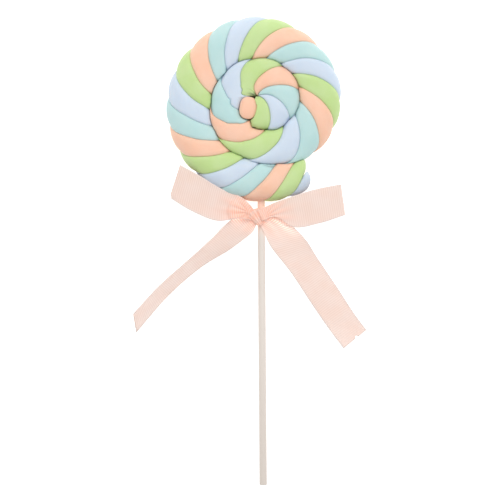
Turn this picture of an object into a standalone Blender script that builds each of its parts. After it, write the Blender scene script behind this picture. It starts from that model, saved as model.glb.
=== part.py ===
"""A marshmallow twist lollipop with a ribbon bow on its stick, lying flat with the swirl facing up.

Four strands are twisted into a rope, and the rope is coiled into a spiral head. All sizes are in
metres, +Z is up and the stick points along -Y. The head is drawn around the middle of the swirl,
and at the end everything moves together so that the origin is the bottom centre of the whole.
"""

import math

import bmesh
import bpy
from mathutils import Vector

OBJECT_NAME = "marshmallow_lollipop"

# The coil, read clockwise from its tail at the lower right towards the middle of the swirl.
EIGHTH_TURN = math.radians(45.0)
EDGE_RADII = (  # outer edge of the rope from the swirl's middle, at each eighth of a turn
    0.0545, 0.0541, 0.0506, 0.0466, 0.0415, 0.0404, 0.0396, 0.0423, 0.0395, 0.0335,
    0.0300, 0.0255, 0.0200, 0.0195, 0.0205, 0.0215, 0.0210, 0.0175, 0.0133,
)
STRANDS_PASSED = (-0.1, 6.3, 11.5, 15.7, 19.9, 22.8, 25.3, 26.7, 28.8, 30.8)  # by each quarter turn
TIP_PLACE = 18.78  # where the rope ends beside the swirl's middle, in eighths of a turn
ROPE_HALF_HEIGHT = 0.0105
REST_FLAT = 0.0005  # how far the underside is pressed flat
CENTRE_RISE = 0.0016  # the middle of the swirl stands this much prouder than the outer turn
SQUEEZE = 0.0007  # how much each turn would bulge past its neighbour if it weren't pressed flat
CORE_RADIUS = 0.0006
GAP = 0.0003

# The strands of the rope. At the tip the peach strand goes on alone and closes the swirl.
STRAND_NAMES = ("strand_lavender", "strand_green", "strand_peach", "strand_aqua")
STRAND_TAILS = (0.315, 0.235, 0.34, 0.39)  # where each strand starts, in eighths of a turn
STRAND_TIPS = (17.30, 17.42, TIP_PLACE, 17.20)  # where each ends
STRAND_COUNT = len(STRAND_NAMES)
LAST_STRAND = STRAND_TIPS.index(TIP_PLACE)
STATION_SPACING = 0.0026
WIDEST_STEP = 0.20  # between stations near the tip, in eighths of a turn
NARROWEST_STEP = 0.004
CREASE_DEPTH = 0.14  # share of the rope's radius
ARC_STEPS = (-1.0, -0.80, -0.42, 0.0, 0.42, 0.80, 1.0)  # across a strand's rounded face
END_ROUNDING = 0.0030
TIP_CLOSING = 0.25  # how soon the last strand fills the rope, in eighths of a turn
ROUNDING_STEPS = (0.0, 0.08, 0.26, 0.60)  # extra stations, as shares of the rounding
SMALLEST_END = 0.60  # share of the full section that is left at a strand's end

# The stick.
STICK_RADIUS = 0.0019
STICK_INNER_END = (0.00110, -0.0200)
STICK_FREE_END = (0.00235, -0.1987)
STICK_SIDES = 24
STICK_EDGE = 0.0004
BORE_REACH = 0.040

# The ribbon: 15 mm wide, tied round the stick just below the head.
RIBBON_THICKNESS = 0.0005
KNOT_MIDDLE = (-0.0010, -0.0620, 0.0140)
KNOT_SIZE = (0.0078, 0.0074, 0.0056)
WRAP_RADIUS = 0.0031
WRAP_LENGTH = 0.0068
LOOP_HALF_OPENING = 0.0032
LOOP_ROOT_OPENING = 0.0008
LOOP_STEPS = 12
TAIL_STEPS = 12
CROSS_STEPS = 3

# Each loop as pairs of upper and lower edge points in plan, from the knot out to its fold.
LEFT_LOOP = (
    ((-0.0020, -0.0590), (-0.0020, -0.0640)),
    ((-0.0078, -0.0540), (-0.0105, -0.0645)),
    ((-0.0184, -0.0501), (-0.0215, -0.0637)),
    ((-0.0300, -0.0428), (-0.0340, -0.0590)),
    ((-0.0410, -0.0364), (-0.0443, -0.0525)),
)
RIGHT_LOOP = (
    ((0.0000, -0.0590), (0.0000, -0.0640)),
    ((0.0065, -0.0560), (0.0075, -0.0650)),
    ((0.0155, -0.0530), (0.0185, -0.0672)),
    ((0.0285, -0.0490), (0.0310, -0.0650)),
    ((0.0418, -0.0458), (0.0437, -0.0612)),
)
LEFT_LOOP_HEIGHT = (0.0140, 0.0135)  # height of the loop's middle at the knot and at the fold
RIGHT_LOOP_HEIGHT = (0.0140, 0.0130)

# Each tail as pairs of edge points, from the knot down to its cut end.
LEFT_TAIL = (
    ((-0.0030, -0.0600, 0.0135), (-0.0005, -0.0640, 0.0130)),
    ((-0.0105, -0.0610, 0.0105), (-0.0030, -0.0695, 0.0100)),
    ((-0.0170, -0.0660, 0.0100), (-0.0080, -0.0737, 0.0070)),
    ((-0.0240, -0.0730, 0.0115), (-0.0160, -0.0795, 0.0040)),
    ((-0.0344, -0.0826, 0.0135), (-0.0295, -0.0878, 0.0014)),
    ((-0.0508, -0.0972, 0.0134), (-0.0461, -0.1022, 0.0008)),
    ((-0.0640, -0.1115, 0.0125), (-0.0626, -0.1211, 0.0008)),
)
RIGHT_TAIL = (
    ((0.0015, -0.0600, 0.0130), (-0.0005, -0.0650, 0.0130)),
    ((0.0125, -0.0630, 0.0100), (0.0010, -0.0690, 0.0100)),
    ((0.0235, -0.0730, 0.0085), (0.0065, -0.0775, 0.0080)),
    ((0.0300, -0.0828, 0.0065), (0.0166, -0.0905, 0.0055)),
    ((0.0406, -0.0985, 0.0038), (0.0281, -0.1078, 0.0026)),
    ((0.0486, -0.1108, 0.0020), (0.0362, -0.1195, 0.0010)),
    ((0.0552, -0.1197, 0.0011), (0.0435, -0.1292, 0.0006)),
)

# Colours are linear, from the strands' sRGB values.
STRAND_COLOURS = {
    "strand_lavender": (0.651, 0.737, 0.855),
    "strand_green": (0.578, 0.738, 0.328),
    "strand_peach": (0.965, 0.604, 0.445),
    "strand_aqua": (0.533, 0.738, 0.731),
}
STICK_COLOUR = (0.787, 0.730, 0.680)
RIBBON_COLOUR = (0.905, 0.638, 0.539)


def clear_scene():
    for obj in list(bpy.data.objects):
        bpy.data.objects.remove(obj, do_unlink=True)


def new_collection(name):
    collection = bpy.data.collections.new(name)
    bpy.context.scene.collection.children.link(collection)
    return collection


def plain_material(name, colour, roughness):
    material = bpy.data.materials.new(name)
    material.use_nodes = True
    shader = material.node_tree.nodes["Principled BSDF"]
    shader.inputs["Base Color"].default_value = (*colour, 1.0)
    shader.inputs["Roughness"].default_value = roughness
    shader.inputs["Metallic"].default_value = 0.0
    return material


def object_from_bmesh(name, mesh_builder, collection, material=None):
    """A new object that holds the bmesh's shape, which is freed."""
    mesh = bpy.data.meshes.new(name)
    mesh_builder.to_mesh(mesh)
    mesh_builder.free()
    obj = bpy.data.objects.new(name, mesh)
    collection.objects.link(obj)
    if material:
        mesh.materials.append(material)
    mesh.shade_smooth()
    mesh.set_sharp_from_angle(angle=math.radians(50))
    return obj


def smooth_value(values, position):
    """A number or a vector read from evenly spaced values, on a smooth curve through them."""
    last = len(values) - 1
    step = min(max(int(math.floor(position)), 0), last - 1)
    share = position - step
    before = values[step - 1] if step > 0 else values[0] * 2 - values[1]
    after = values[step + 2] if step + 2 <= last else values[last] * 2 - values[last - 1]
    start, end = values[step], values[step + 1]
    start_slope = (end - before) * 0.5
    end_slope = (after - start) * 0.5
    squared, cubed = share * share, share * share * share
    return (
        start * (2 * cubed - 3 * squared + 1)
        + start_slope * (cubed - 2 * squared + share)
        + end * (3 * squared - 2 * cubed)
        + end_slope * (cubed - squared)
    )


def smooth_step(share):
    share = min(max(share, 0.0), 1.0)
    return share * share * (3 - 2 * share)


def edge_radius(place):
    """The coil's outer edge, and nothing past the rope's tip."""
    past_tip = (0.0,) * 10
    return max(smooth_value(EDGE_RADII + past_tip, place), 0.0)


def strands_passed(place):
    beyond = STRANDS_PASSED[-1] * 2 - STRANDS_PASSED[-2]
    return smooth_value(STRANDS_PASSED + (beyond,), place / 2)


def middle_radius(place):
    return (edge_radius(place) + max(edge_radius(place + 8), CORE_RADIUS)) / 2


def eighth_length(place):
    """How long an eighth of a turn is there, along the rope's middle."""
    return EIGHTH_TURN * middle_radius(place)


def strand_size(strand, place):
    """How much of its full section a strand has there, less than 1 where its ends round off."""
    tail, tip = STRAND_TAILS[strand], STRAND_TIPS[strand]
    from_tail = (place - tail) * eighth_length(tail) / END_ROUNDING
    to_tip = (tip - place) * eighth_length(tip) / END_ROUNDING
    missing = min(max(1 - min(from_tail, to_tip), 0.0), 1.0)
    return SMALLEST_END + (1 - SMALLEST_END) * math.sqrt(1 - missing * missing)


def end_places(strand):
    """Closely spaced places where the strand's two ends round off."""
    tail, tip = STRAND_TAILS[strand], STRAND_TIPS[strand]
    tail_span, tip_span = END_ROUNDING / eighth_length(tail), END_ROUNDING / eighth_length(tip)
    places = [tail + tail_span * share for share in ROUNDING_STEPS]
    return places + [tip - tip_span * share for share in ROUNDING_STEPS]


def all_places():
    """Places along the coil: even steps, and those at the strands' ends. Neighbours share them all."""
    places = [min(STRAND_TAILS)]
    while places[-1] < TIP_PLACE:
        places.append(places[-1] + min(STATION_SPACING / eighth_length(places[-1]), WIDEST_STEP))
    for strand in range(STRAND_COUNT):
        places += end_places(strand)
    apart = []
    for place in sorted(places):
        if not apart or place - apart[-1] > NARROWEST_STEP:
            apart.append(place)
    return apart


def strand_places(strand):
    tail, tip = STRAND_TAILS[strand], STRAND_TIPS[strand]
    inside = [place for place in all_places() if tail + NARROWEST_STEP < place < tip - NARROWEST_STEP]
    return [tail] + inside + [tip]


class RopeSection:
    """The rope cut across at one place, drawn as radius from the swirl's middle and height."""

    def __init__(self, place):
        self.outer = edge_radius(place)
        self.inner = max(edge_radius(place + 8), CORE_RADIUS)
        self.middle = (self.outer + self.inner) / 2
        self.has_outer_turn = place >= 8.0
        half_width = (self.outer - self.inner) / 2
        pressed_outside = smooth_step((place - 7.6) / 0.8)
        pressed_inside = 1 - smooth_step((place + 8 - TIP_PLACE) / 0.8)
        self.half_outwards = half_width + SQUEEZE * pressed_outside
        self.half_inwards = half_width + SQUEEZE * pressed_inside
        rise = CENTRE_RISE * smooth_step((place - 6.0) / 12.0)
        self.height = ROPE_HALF_HEIGHT - REST_FLAT + rise
        self.passed = strands_passed(place)
        self.alone = smooth_step((place - max(others_tips())) / TIP_CLOSING)

    def offset(self, angle, share):
        """From the rope's middle towards its surface, angle measured from up towards outwards."""
        half_width = self.half_outwards if math.sin(angle) > 0 else self.half_inwards
        across = half_width * math.sin(angle)
        return Vector((across, ROPE_HALF_HEIGHT * math.cos(angle))) * share

    def pressed(self, point):
        """The point in radius and height, kept clear of the neighbouring turns and the floor."""
        radius, height = self.middle + point.x, self.height + point.y
        if self.has_outer_turn:
            radius = min(radius, self.outer - GAP / 2)
        radius = max(radius, self.inner + GAP / 2)
        return Vector((radius, max(height, 0.0)))

    def heading(self, strand):
        return (self.passed - strand - 0.5) * (2 * math.pi / STRAND_COUNT)

    def wedge(self, strand):
        """The strand's share of the rope: a point at the rope's middle, then a rounded outer face."""
        spread = math.pi / STRAND_COUNT
        outline = []
        for step in ARC_STEPS:
            rounding = 1 - math.sqrt(1 - abs(step) ** 3)
            angle = self.heading(strand) + step * spread
            outline.append(self.offset(angle, 1 - CREASE_DEPTH * rounding))
        first, last = outline[0].normalized(), outline[-1].normalized()
        clearance = GAP / 2
        turned = first.x * last.y - first.y * last.x
        point = (first + last) * (clearance / abs(turned))
        side = math.copysign(1.0, turned)
        outline[0] += Vector((-first.y, first.x)) * side * clearance
        outline[-1] += Vector((last.y, -last.x)) * side * clearance
        return [point] + outline

    def whole(self, strand):
        """The outline of the whole rope, with as many corners as a wedge and in the same order."""
        corners = len(ARC_STEPS) + 1
        start = self.heading(strand) + math.pi
        return [self.offset(start + i * 2 * math.pi / corners, 1.0) for i in range(corners)]

    def strand_outline(self, strand, size):
        """The strand's outline in radius and height. The last strand fills the rope where it is alone."""
        outline = self.wedge(strand)
        if strand == LAST_STRAND:
            pairs = zip(outline, self.whole(strand))
            outline = [corner.lerp(filled, self.alone) for corner, filled in pairs]
        centre = sum(outline, Vector((0.0, 0.0))) / len(outline)
        return [self.pressed(centre.lerp(corner, size)) for corner in outline]


def others_tips():
    return [tip for tip in STRAND_TIPS if tip < TIP_PLACE]


def on_coil(place, section_point):
    """A point of a section, turned clockwise round the swirl's middle to its place."""
    angle = -EIGHTH_TURN * (place + 1)
    return Vector((section_point.x * math.cos(angle), section_point.x * math.sin(angle), section_point.y))


def loft_rings(builder, rings):
    """Joins rings of equal corner counts into a closed tube of triangles with flat ends."""
    count = len(rings[0])
    vertices = [[builder.verts.new(corner) for corner in ring] for ring in rings]
    for ring, following in zip(vertices, vertices[1:]):
        for i in range(count):
            j = (i + 1) % count
            if i == 0:  # splits as the last side does, so that neighbouring strands stay parallel
                builder.faces.new((ring[i], ring[j], following[j]))
                builder.faces.new((ring[i], following[j], following[i]))
            else:
                builder.faces.new((ring[i], ring[j], following[i]))
                builder.faces.new((ring[j], following[j], following[i]))
    for ring in (vertices[0], vertices[-1]):
        centre = builder.verts.new(sum((corner.co for corner in ring), Vector()) / count)
        for i in range(count):
            builder.faces.new((ring[i], ring[(i + 1) % count], centre))
    bmesh.ops.recalc_face_normals(builder, faces=builder.faces)


def make_strands(collection):
    strands = []
    for index, name in enumerate(STRAND_NAMES):
        builder = bmesh.new()
        rings = []
        for place in strand_places(index):
            outline = RopeSection(place).strand_outline(index, strand_size(index, place))
            rings.append([on_coil(place, corner) for corner in outline])
        loft_rings(builder, rings)
        material = plain_material(name.replace("strand", "marshmallow"), STRAND_COLOURS[name], 0.75)
        strands.append(object_from_bmesh(name, builder, collection, material))
    return strands


def stick_height():
    return ROPE_HALF_HEIGHT - REST_FLAT


def rod(name, start, end, radius, sides, collection, material=None):
    """A round bar between two points at the stick's height."""
    start, end = Vector((*start, stick_height())), Vector((*end, stick_height()))
    builder = bmesh.new()
    bmesh.ops.create_cone(
        builder, cap_ends=True, segments=sides, radius1=radius, radius2=radius, depth=(end - start).length
    )
    turn = (end - start).to_track_quat("Z", "Y")
    bmesh.ops.transform(builder, matrix=turn.to_matrix().to_4x4(), verts=builder.verts)
    bmesh.ops.translate(builder, vec=(start + end) / 2, verts=builder.verts)
    return object_from_bmesh(name, builder, collection, material)


def along_stick(distance):
    """The point in plan this far below the stick's inner end."""
    start, end = Vector(STICK_INNER_END), Vector(STICK_FREE_END)
    return start + (end - start).normalized() * distance


def make_stick(collection):
    material = plain_material("white_stick", STICK_COLOUR, 0.45)
    stick = rod("stick", STICK_INNER_END, STICK_FREE_END, STICK_RADIUS, STICK_SIDES, collection, material)
    bevel = stick.modifiers.new("rounded_ends", "BEVEL")
    bevel.width = STICK_EDGE
    bevel.segments = 2
    bevel.limit_method = "ANGLE"
    bevel.angle_limit = math.radians(60)
    return stick


def bore_strands(strands, cutters):
    """Opens the head for the stick, with a small clearance all round."""
    cutter = rod(
        "stick_bore", along_stick(-GAP), along_stick(BORE_REACH), STICK_RADIUS + GAP, STICK_SIDES, cutters
    )
    cutter.hide_render = True
    cutter.display_type = "WIRE"
    for strand in strands:
        bore = strand.modifiers.new("stick_bore", "BOOLEAN")
        bore.operation = "DIFFERENCE"
        bore.solver = "EXACT"
        bore.object = cutter
    return cutter


def strip(name, edge_pairs, collection):
    """A band of ribbon between two edges, each pair being one line across it."""
    builder = bmesh.new()
    rows = []
    for upper, lower in edge_pairs:
        shares = [i / CROSS_STEPS for i in range(CROSS_STEPS + 1)]
        rows.append([builder.verts.new(upper.lerp(lower, share)) for share in shares])
    for row, following in zip(rows, rows[1:]):
        for i in range(CROSS_STEPS):
            builder.faces.new((row[i], row[i + 1], following[i + 1], following[i]))
    band = object_from_bmesh(name, builder, collection)
    wall = band.modifiers.new("ribbon_thickness", "SOLIDIFY")
    wall.thickness = RIBBON_THICKNESS
    wall.offset = 0.0
    wall.use_even_offset = True
    return band


def loop_band(name, edges, heights, collection):
    """One bow loop: out from the knot along its back, round the fold, and back along its front."""
    uppers = [Vector((*upper, 0.0)) for upper, lower in edges]
    lowers = [Vector((*lower, 0.0)) for upper, lower in edges]
    last = len(edges) - 1
    pairs = []
    for i in range(-LOOP_STEPS, LOOP_STEPS + 1):
        side = i / LOOP_STEPS
        reach = 1 - side * side
        opening = LOOP_HALF_OPENING * math.sin(math.pi * side) + LOOP_ROOT_OPENING * side
        middle = heights[0] + (heights[1] - heights[0]) * reach
        height = Vector((0.0, 0.0, middle + opening))
        upper = smooth_value(uppers, reach * last) + height
        lower = smooth_value(lowers, reach * last) + height
        pairs.append((upper, lower))
    return strip(name, pairs, collection)


def tail_band(name, edges, collection):
    uppers = [Vector(upper) for upper, lower in edges]
    lowers = [Vector(lower) for upper, lower in edges]
    last = len(edges) - 1
    pairs = []
    for i in range(TAIL_STEPS + 1):
        position = last * i / TAIL_STEPS
        pairs.append((smooth_value(uppers, position), smooth_value(lowers, position)))
    return strip(name, pairs, collection)


def knot_lump(collection):
    builder = bmesh.new()
    bmesh.ops.create_uvsphere(builder, u_segments=16, v_segments=10, radius=0.5)
    bmesh.ops.scale(builder, vec=KNOT_SIZE, verts=builder.verts)
    bmesh.ops.translate(builder, vec=KNOT_MIDDLE, verts=builder.verts)
    return object_from_bmesh("knot_lump", builder, collection)


def knot_wrap(collection):
    """The ribbon's turn round the stick, still without its bore."""
    reach = abs(KNOT_MIDDLE[1] - STICK_INNER_END[1])
    start, end = along_stick(reach - WRAP_LENGTH / 2), along_stick(reach + WRAP_LENGTH / 2)
    return rod("knot_wrap", start, end, WRAP_RADIUS, 16, collection)


def make_bow(collection, cutters):
    """Loops, tails and knot joined into the one piece that they are, with the stick's way cut through."""
    pieces = new_collection("bow_pieces")
    wrap = knot_wrap(collection)
    knot_lump(pieces)
    loop_band("left_loop", LEFT_LOOP, LEFT_LOOP_HEIGHT, pieces)
    loop_band("right_loop", RIGHT_LOOP, RIGHT_LOOP_HEIGHT, pieces)
    tail_band("left_tail", LEFT_TAIL, pieces)
    tail_band("right_tail", RIGHT_TAIL, pieces)
    join = wrap.modifiers.new("join", "BOOLEAN")
    join.operation = "UNION"
    join.solver = "EXACT"
    join.operand_type = "COLLECTION"
    join.collection = pieces
    bpy.context.view_layer.update()
    joined = bpy.data.meshes.new_from_object(wrap.evaluated_get(bpy.context.evaluated_depsgraph_get()))
    for piece in list(pieces.objects):
        bpy.data.objects.remove(piece, do_unlink=True)
    bpy.data.collections.remove(pieces)
    bpy.data.objects.remove(wrap, do_unlink=True)
    bow = bpy.data.objects.new("ribbon_bow", joined)
    collection.objects.link(bow)
    joined.materials.clear()
    joined.materials.append(plain_material("peach_ribbon", RIBBON_COLOUR, 0.6))
    way = bow.modifiers.new("stick_way", "BOOLEAN")
    way.operation = "DIFFERENCE"
    way.solver = "EXACT"
    way.object = stick_way(cutters)
    return bow


def stick_way(cutters):
    reach = abs(KNOT_MIDDLE[1] - STICK_INNER_END[1])
    start, end = along_stick(reach - WRAP_LENGTH * 1.5), along_stick(reach + WRAP_LENGTH * 3)
    cutter = rod("stick_way", start, end, STICK_RADIUS + GAP, STICK_SIDES, cutters)
    cutter.hide_render = True
    cutter.display_type = "WIRE"
    return cutter


def centre_on_floor(parts, helpers):
    """Moves everything so that the origin is the bottom centre of the parts' box."""
    bpy.context.view_layer.update()
    graph = bpy.context.evaluated_depsgraph_get()
    corners = []
    for part in parts:
        mesh = part.evaluated_get(graph).to_mesh()
        corners.extend(vertex.co.copy() for vertex in mesh.vertices)
        part.evaluated_get(graph).to_mesh_clear()
    low = Vector([min(corner[i] for corner in corners) for i in range(3)])
    high = Vector([max(corner[i] for corner in corners) for i in range(3)])
    shift = Vector(((low.x + high.x) / 2, (low.y + high.y) / 2, low.z))
    for obj in parts + helpers:
        obj.location = -shift


def main():
    clear_scene()
    lollipop = new_collection(OBJECT_NAME)
    cutters = new_collection("cutters")
    strands = make_strands(lollipop)
    stick = make_stick(lollipop)
    bore_strands(strands, cutters)
    bow = make_bow(lollipop, cutters)
    centre_on_floor([*strands, stick, bow], list(cutters.objects))


main()
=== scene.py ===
"""Looks of a marshmallow twist lollipop: its four soft strands, paper stick and sheer ribbon bow.

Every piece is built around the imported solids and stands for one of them. Sizes are in metres. Shapes
are drawn around the middle of the swirl, with +X to the right, the stick towards -Y and +Z up, and a
mesh is moved into the frame of the solids as it is made.
"""

import logging
import math
from collections.abc import Sequence
from dataclasses import dataclass, field
from enum import Enum

import bmesh
import bpy
import numpy as np
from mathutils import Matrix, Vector, noise


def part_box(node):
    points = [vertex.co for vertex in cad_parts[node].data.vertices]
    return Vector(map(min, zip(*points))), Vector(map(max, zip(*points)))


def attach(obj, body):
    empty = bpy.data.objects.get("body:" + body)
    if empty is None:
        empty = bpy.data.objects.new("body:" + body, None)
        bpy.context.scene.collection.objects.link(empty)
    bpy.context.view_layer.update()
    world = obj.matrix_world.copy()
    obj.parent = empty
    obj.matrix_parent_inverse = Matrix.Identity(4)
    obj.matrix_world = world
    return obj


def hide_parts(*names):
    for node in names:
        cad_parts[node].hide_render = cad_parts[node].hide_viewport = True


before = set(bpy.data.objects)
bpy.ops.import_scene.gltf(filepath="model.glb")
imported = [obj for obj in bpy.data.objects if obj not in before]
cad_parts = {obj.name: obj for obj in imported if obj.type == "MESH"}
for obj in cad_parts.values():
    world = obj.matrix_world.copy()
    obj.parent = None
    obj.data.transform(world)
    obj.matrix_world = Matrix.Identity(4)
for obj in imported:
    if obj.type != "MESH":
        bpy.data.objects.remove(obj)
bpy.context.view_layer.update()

log = logging.getLogger("lollipop")

BODY = "root"
MERGE_DISTANCE = 1e-6
STICK_MIDDLE = (0.001725, -0.10935)  # middle of the stick's box, from the swirl's middle
EIGHTH_TURN = math.pi / 4
NEXT_TURN = 8  # eighths of a turn from one turn of the coil to the next
WHITE = (1.0, 1.0, 1.0, 1.0)

Point = tuple[float, float, float]
Colour = tuple[float, float, float]
Numbers = np.ndarray | float


def swirl_middle() -> Vector:
    """Find the swirl's middle in the frame of the solids, from where the stick lies.

    Returns:
        The vector that takes a point from the swirl's middle into the frame.
    """
    low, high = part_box("stick")
    centre = (low + high) / 2
    return Vector((centre.x - STICK_MIDDLE[0], centre.y - STICK_MIDDLE[1], 0.0))


ORIGIN = swirl_middle()


# ---------------------------------------------------------------------------
# Curves
# ---------------------------------------------------------------------------


def smooth_curve(values: Sequence[float] | Sequence[Sequence[float]], positions: np.ndarray) -> np.ndarray:
    """Read evenly spaced values on a smooth curve through them.

    Args:
        values: Numbers or points, one for each whole position.
        positions: Where to read, in steps of the values.

    Returns:
        One number or point for each position.
    """
    table = np.asarray(values, float)
    extended = np.concatenate([[2 * table[0] - table[1]], table, [2 * table[-1] - table[-2]]])
    step = np.clip(np.floor(positions).astype(int), 0, len(table) - 2)
    share = positions - step
    if table.ndim > 1:
        share = share[:, None]
    before, start, end, after = (extended[step + i] for i in range(4))
    start_slope, end_slope = (end - before) / 2, (after - start) / 2
    squared, cubed = share**2, share**3
    return (
        start * (2 * cubed - 3 * squared + 1)
        + start_slope * (cubed - 2 * squared + share)
        + end * (3 * squared - 2 * cubed)
        + end_slope * (cubed - squared)
    )


def smooth_step(share: Numbers) -> np.ndarray:
    """Ease from 0 to 1 as share goes from 0 to 1, and hold at both ends."""
    share = np.clip(share, 0.0, 1.0)
    return share * share * (3 - 2 * share)


def ramp(value: Numbers, start: float, length: float) -> np.ndarray:
    """Ease from 0 to 1 as a value goes from start over a length, and hold at both ends."""
    return smooth_step((value - start) / length)


def hump(value: Numbers, middle: float, width: float, power: float = 2) -> np.ndarray:
    """Rise to 1 where a value is at a middle, and fade to 0 on both sides."""
    return np.exp(-(((value - middle) / width) ** power))


def soft_limit(value: np.ndarray, limit: float, softness: float) -> np.ndarray:
    """Keep values below a limit, with a rounded corner where they reach it.

    Args:
        value: Numbers to limit.
        limit: The most that each may be.
        softness: How far below the limit the rounding starts.

    Returns:
        The limited numbers.
    """
    past = np.clip((value - limit) / softness + 1, 0.0, 2.0)
    rounded = limit - softness + softness * (past - past**2 / 4)
    return np.where(value < limit - softness, value, rounded)


def path_lengths(points: np.ndarray) -> np.ndarray:
    """Measure the distance along a line of points from its start to each of them."""
    steps = np.linalg.norm(np.diff(points, axis=0), axis=1)
    return np.concatenate([[0.0], np.cumsum(steps)])


# ---------------------------------------------------------------------------
# Meshes
# ---------------------------------------------------------------------------


@dataclass
class SurfaceGrid:
    """A surface given as rows of points, with optional values and flat coordinates for each point.

    Attributes:
        points: Places from the swirl's middle, as rows by columns by 3.
        values: Named numbers for each point, as rows by columns.
        flat: Flat cloth coordinates in metres, as rows by columns by 2.
    """

    points: np.ndarray
    values: dict[str, np.ndarray] = field(default_factory=dict)
    flat: np.ndarray | None = None

    def builder(self) -> bmesh.types.BMesh:
        """Make the surface from a square grid whose corners are moved to the points.

        Returns:
            The mesh, with its seams and its collapsed ends merged.
        """
        rows, columns = self.points.shape[:2]
        builder = bmesh.new()
        bmesh.ops.create_grid(builder, x_segments=columns - 1, y_segments=rows - 1, size=0.5)
        layers = {name: builder.verts.layers.float.new(name) for name in self.values}
        seat = {}
        for vertex in builder.verts:
            column = round((vertex.co.x + 0.5) * (columns - 1))
            row = round((vertex.co.y + 0.5) * (rows - 1))
            seat[vertex] = (row, column)
            vertex.co = Vector(self.points[row, column]) + ORIGIN
            for name, layer in layers.items():
                vertex[layer] = self.values[name][row, column]
        if self.flat is not None:
            cloth = builder.loops.layers.uv.new("cloth")
            for face in builder.faces:
                for corner in face.loops:
                    corner[cloth].uv = self.flat[seat[corner.vert]]
        bmesh.ops.remove_doubles(builder, verts=builder.verts, dist=MERGE_DISTANCE)
        bmesh.ops.recalc_face_normals(builder, faces=builder.faces)
        return builder


def finished_piece(
    name: str, builder: bmesh.types.BMesh, material: bpy.types.Material
) -> bpy.types.Object:
    """Turn a bmesh into a smooth-shaded piece with a material, and report it.

    Args:
        name: The piece's name.
        builder: Its shape, which is freed.
        material: Its finish.

    Returns:
        The new object, at the origin.
    """
    mesh = bpy.data.meshes.new(name)
    builder.to_mesh(mesh)
    builder.free()
    mesh.shade_smooth()
    mesh.materials.append(material)
    piece = bpy.data.objects.new(name, mesh)
    bpy.context.scene.collection.objects.link(piece)
    log.info("%s: %d faces", name, len(mesh.polygons))
    return piece


# ---------------------------------------------------------------------------
# Shader nodes
# ---------------------------------------------------------------------------


@dataclass
class Wiring:
    """A node tree, with short ways to add and join its nodes."""

    tree: bpy.types.NodeTree

    def node(self, kind: str, settings: dict | None = None, **sockets: object) -> bpy.types.Node:
        """Add a node.

        Args:
            kind: Its type, without the ShaderNode prefix.
            settings: Properties to set on it.
            **sockets: Inputs by name, with _ for a space: an output to link, or a value.

        Returns:
            The new node.
        """
        made = self.tree.nodes.new("ShaderNode" + kind)
        for name, value in (settings or {}).items():
            setattr(made, name, value)
        for name, value in sockets.items():
            self.feed(made.inputs[name.replace("_", " ")], value)
        return made

    def feed(self, socket: bpy.types.NodeSocket, value: object) -> None:
        """Feed a socket.

        Args:
            socket: The input to feed.
            value: An output to link to it, or its own value.
        """
        if isinstance(value, bpy.types.NodeSocket):
            self.tree.links.new(value, socket)
        else:
            socket.default_value = value

    def result(
        self, kind: str, settings: dict[str, str], inputs: dict[int, object], output: int = 0
    ) -> bpy.types.NodeSocket:
        """Add a node whose sockets go by number, because they share their names.

        Args:
            kind: Its type, without the ShaderNode prefix.
            settings: Properties to set on it.
            inputs: What its inputs get, by their numbers.
            output: Number of the output that is wanted.

        Returns:
            That output.
        """
        made = self.node(kind, settings)
        for index, value in inputs.items():
            self.feed(made.inputs[index], value)
        return made.outputs[output]

    def math(self, operation: str, *values: object) -> bpy.types.NodeSocket:
        """Work out a number from up to three."""
        return self.result("Math", {"operation": operation}, dict(enumerate(values)))

    def plus(self, first: object, second: object) -> bpy.types.NodeSocket:
        """Add two numbers."""
        return self.math("ADD", first, second)

    def times(self, first: object, second: object) -> bpy.types.NodeSocket:
        """Multiply two numbers."""
        return self.math("MULTIPLY", first, second)

    def scaled(self, value: object, factor: object, shift: object) -> bpy.types.NodeSocket:
        """Multiply a number by a factor and add a shift."""
        return self.math("MULTIPLY_ADD", value, factor, shift)

    def blend(self, factor: object, first: object, second: object) -> bpy.types.NodeSocket:
        """Mix two colours by a factor."""
        return self.result("Mix", {"data_type": "RGBA"}, {0: factor, 6: first, 7: second}, output=2)

    def band(
        self, value: object, low: float, high: float, least: float, most: float
    ) -> bpy.types.NodeSocket:
        """Ease a number from least to most as it goes from low to high."""
        numbers = dict(enumerate((value, low, high, least, most)))
        return self.result("MapRange", {"interpolation_type": "SMOOTHSTEP"}, numbers)

    def noise(
        self, place: object, scale: object, detail: float, roughness: float = 0.5
    ) -> bpy.types.NodeSocket:
        """Give slow or fine noise at a place."""
        made = self.node("TexNoise", Vector=place, Scale=scale, Detail=detail, Roughness=roughness)
        return made.outputs[0]

    def object_place(self) -> bpy.types.NodeSocket:
        """Give each point's place on its object."""
        return self.node("TexCoord").outputs["Object"]

    def flat_place(self) -> bpy.types.NodeSocket:
        """Give each point's place on the flat piece, in metres."""
        return self.node("UVMap", {"uv_map": "cloth"}).outputs[0]

    def attribute(self, name: str) -> bpy.types.NodeSocket:
        """Give a number that the mesh holds for each point."""
        return self.node("Attribute", {"attribute_name": name}).outputs["Fac"]

    def bump(self, height: object, distance: float, strength: float) -> bpy.types.NodeSocket:
        """Turn a height into a bumped normal."""
        return self.node("Bump", Height=height, Distance=distance, Strength=strength).outputs["Normal"]


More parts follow.
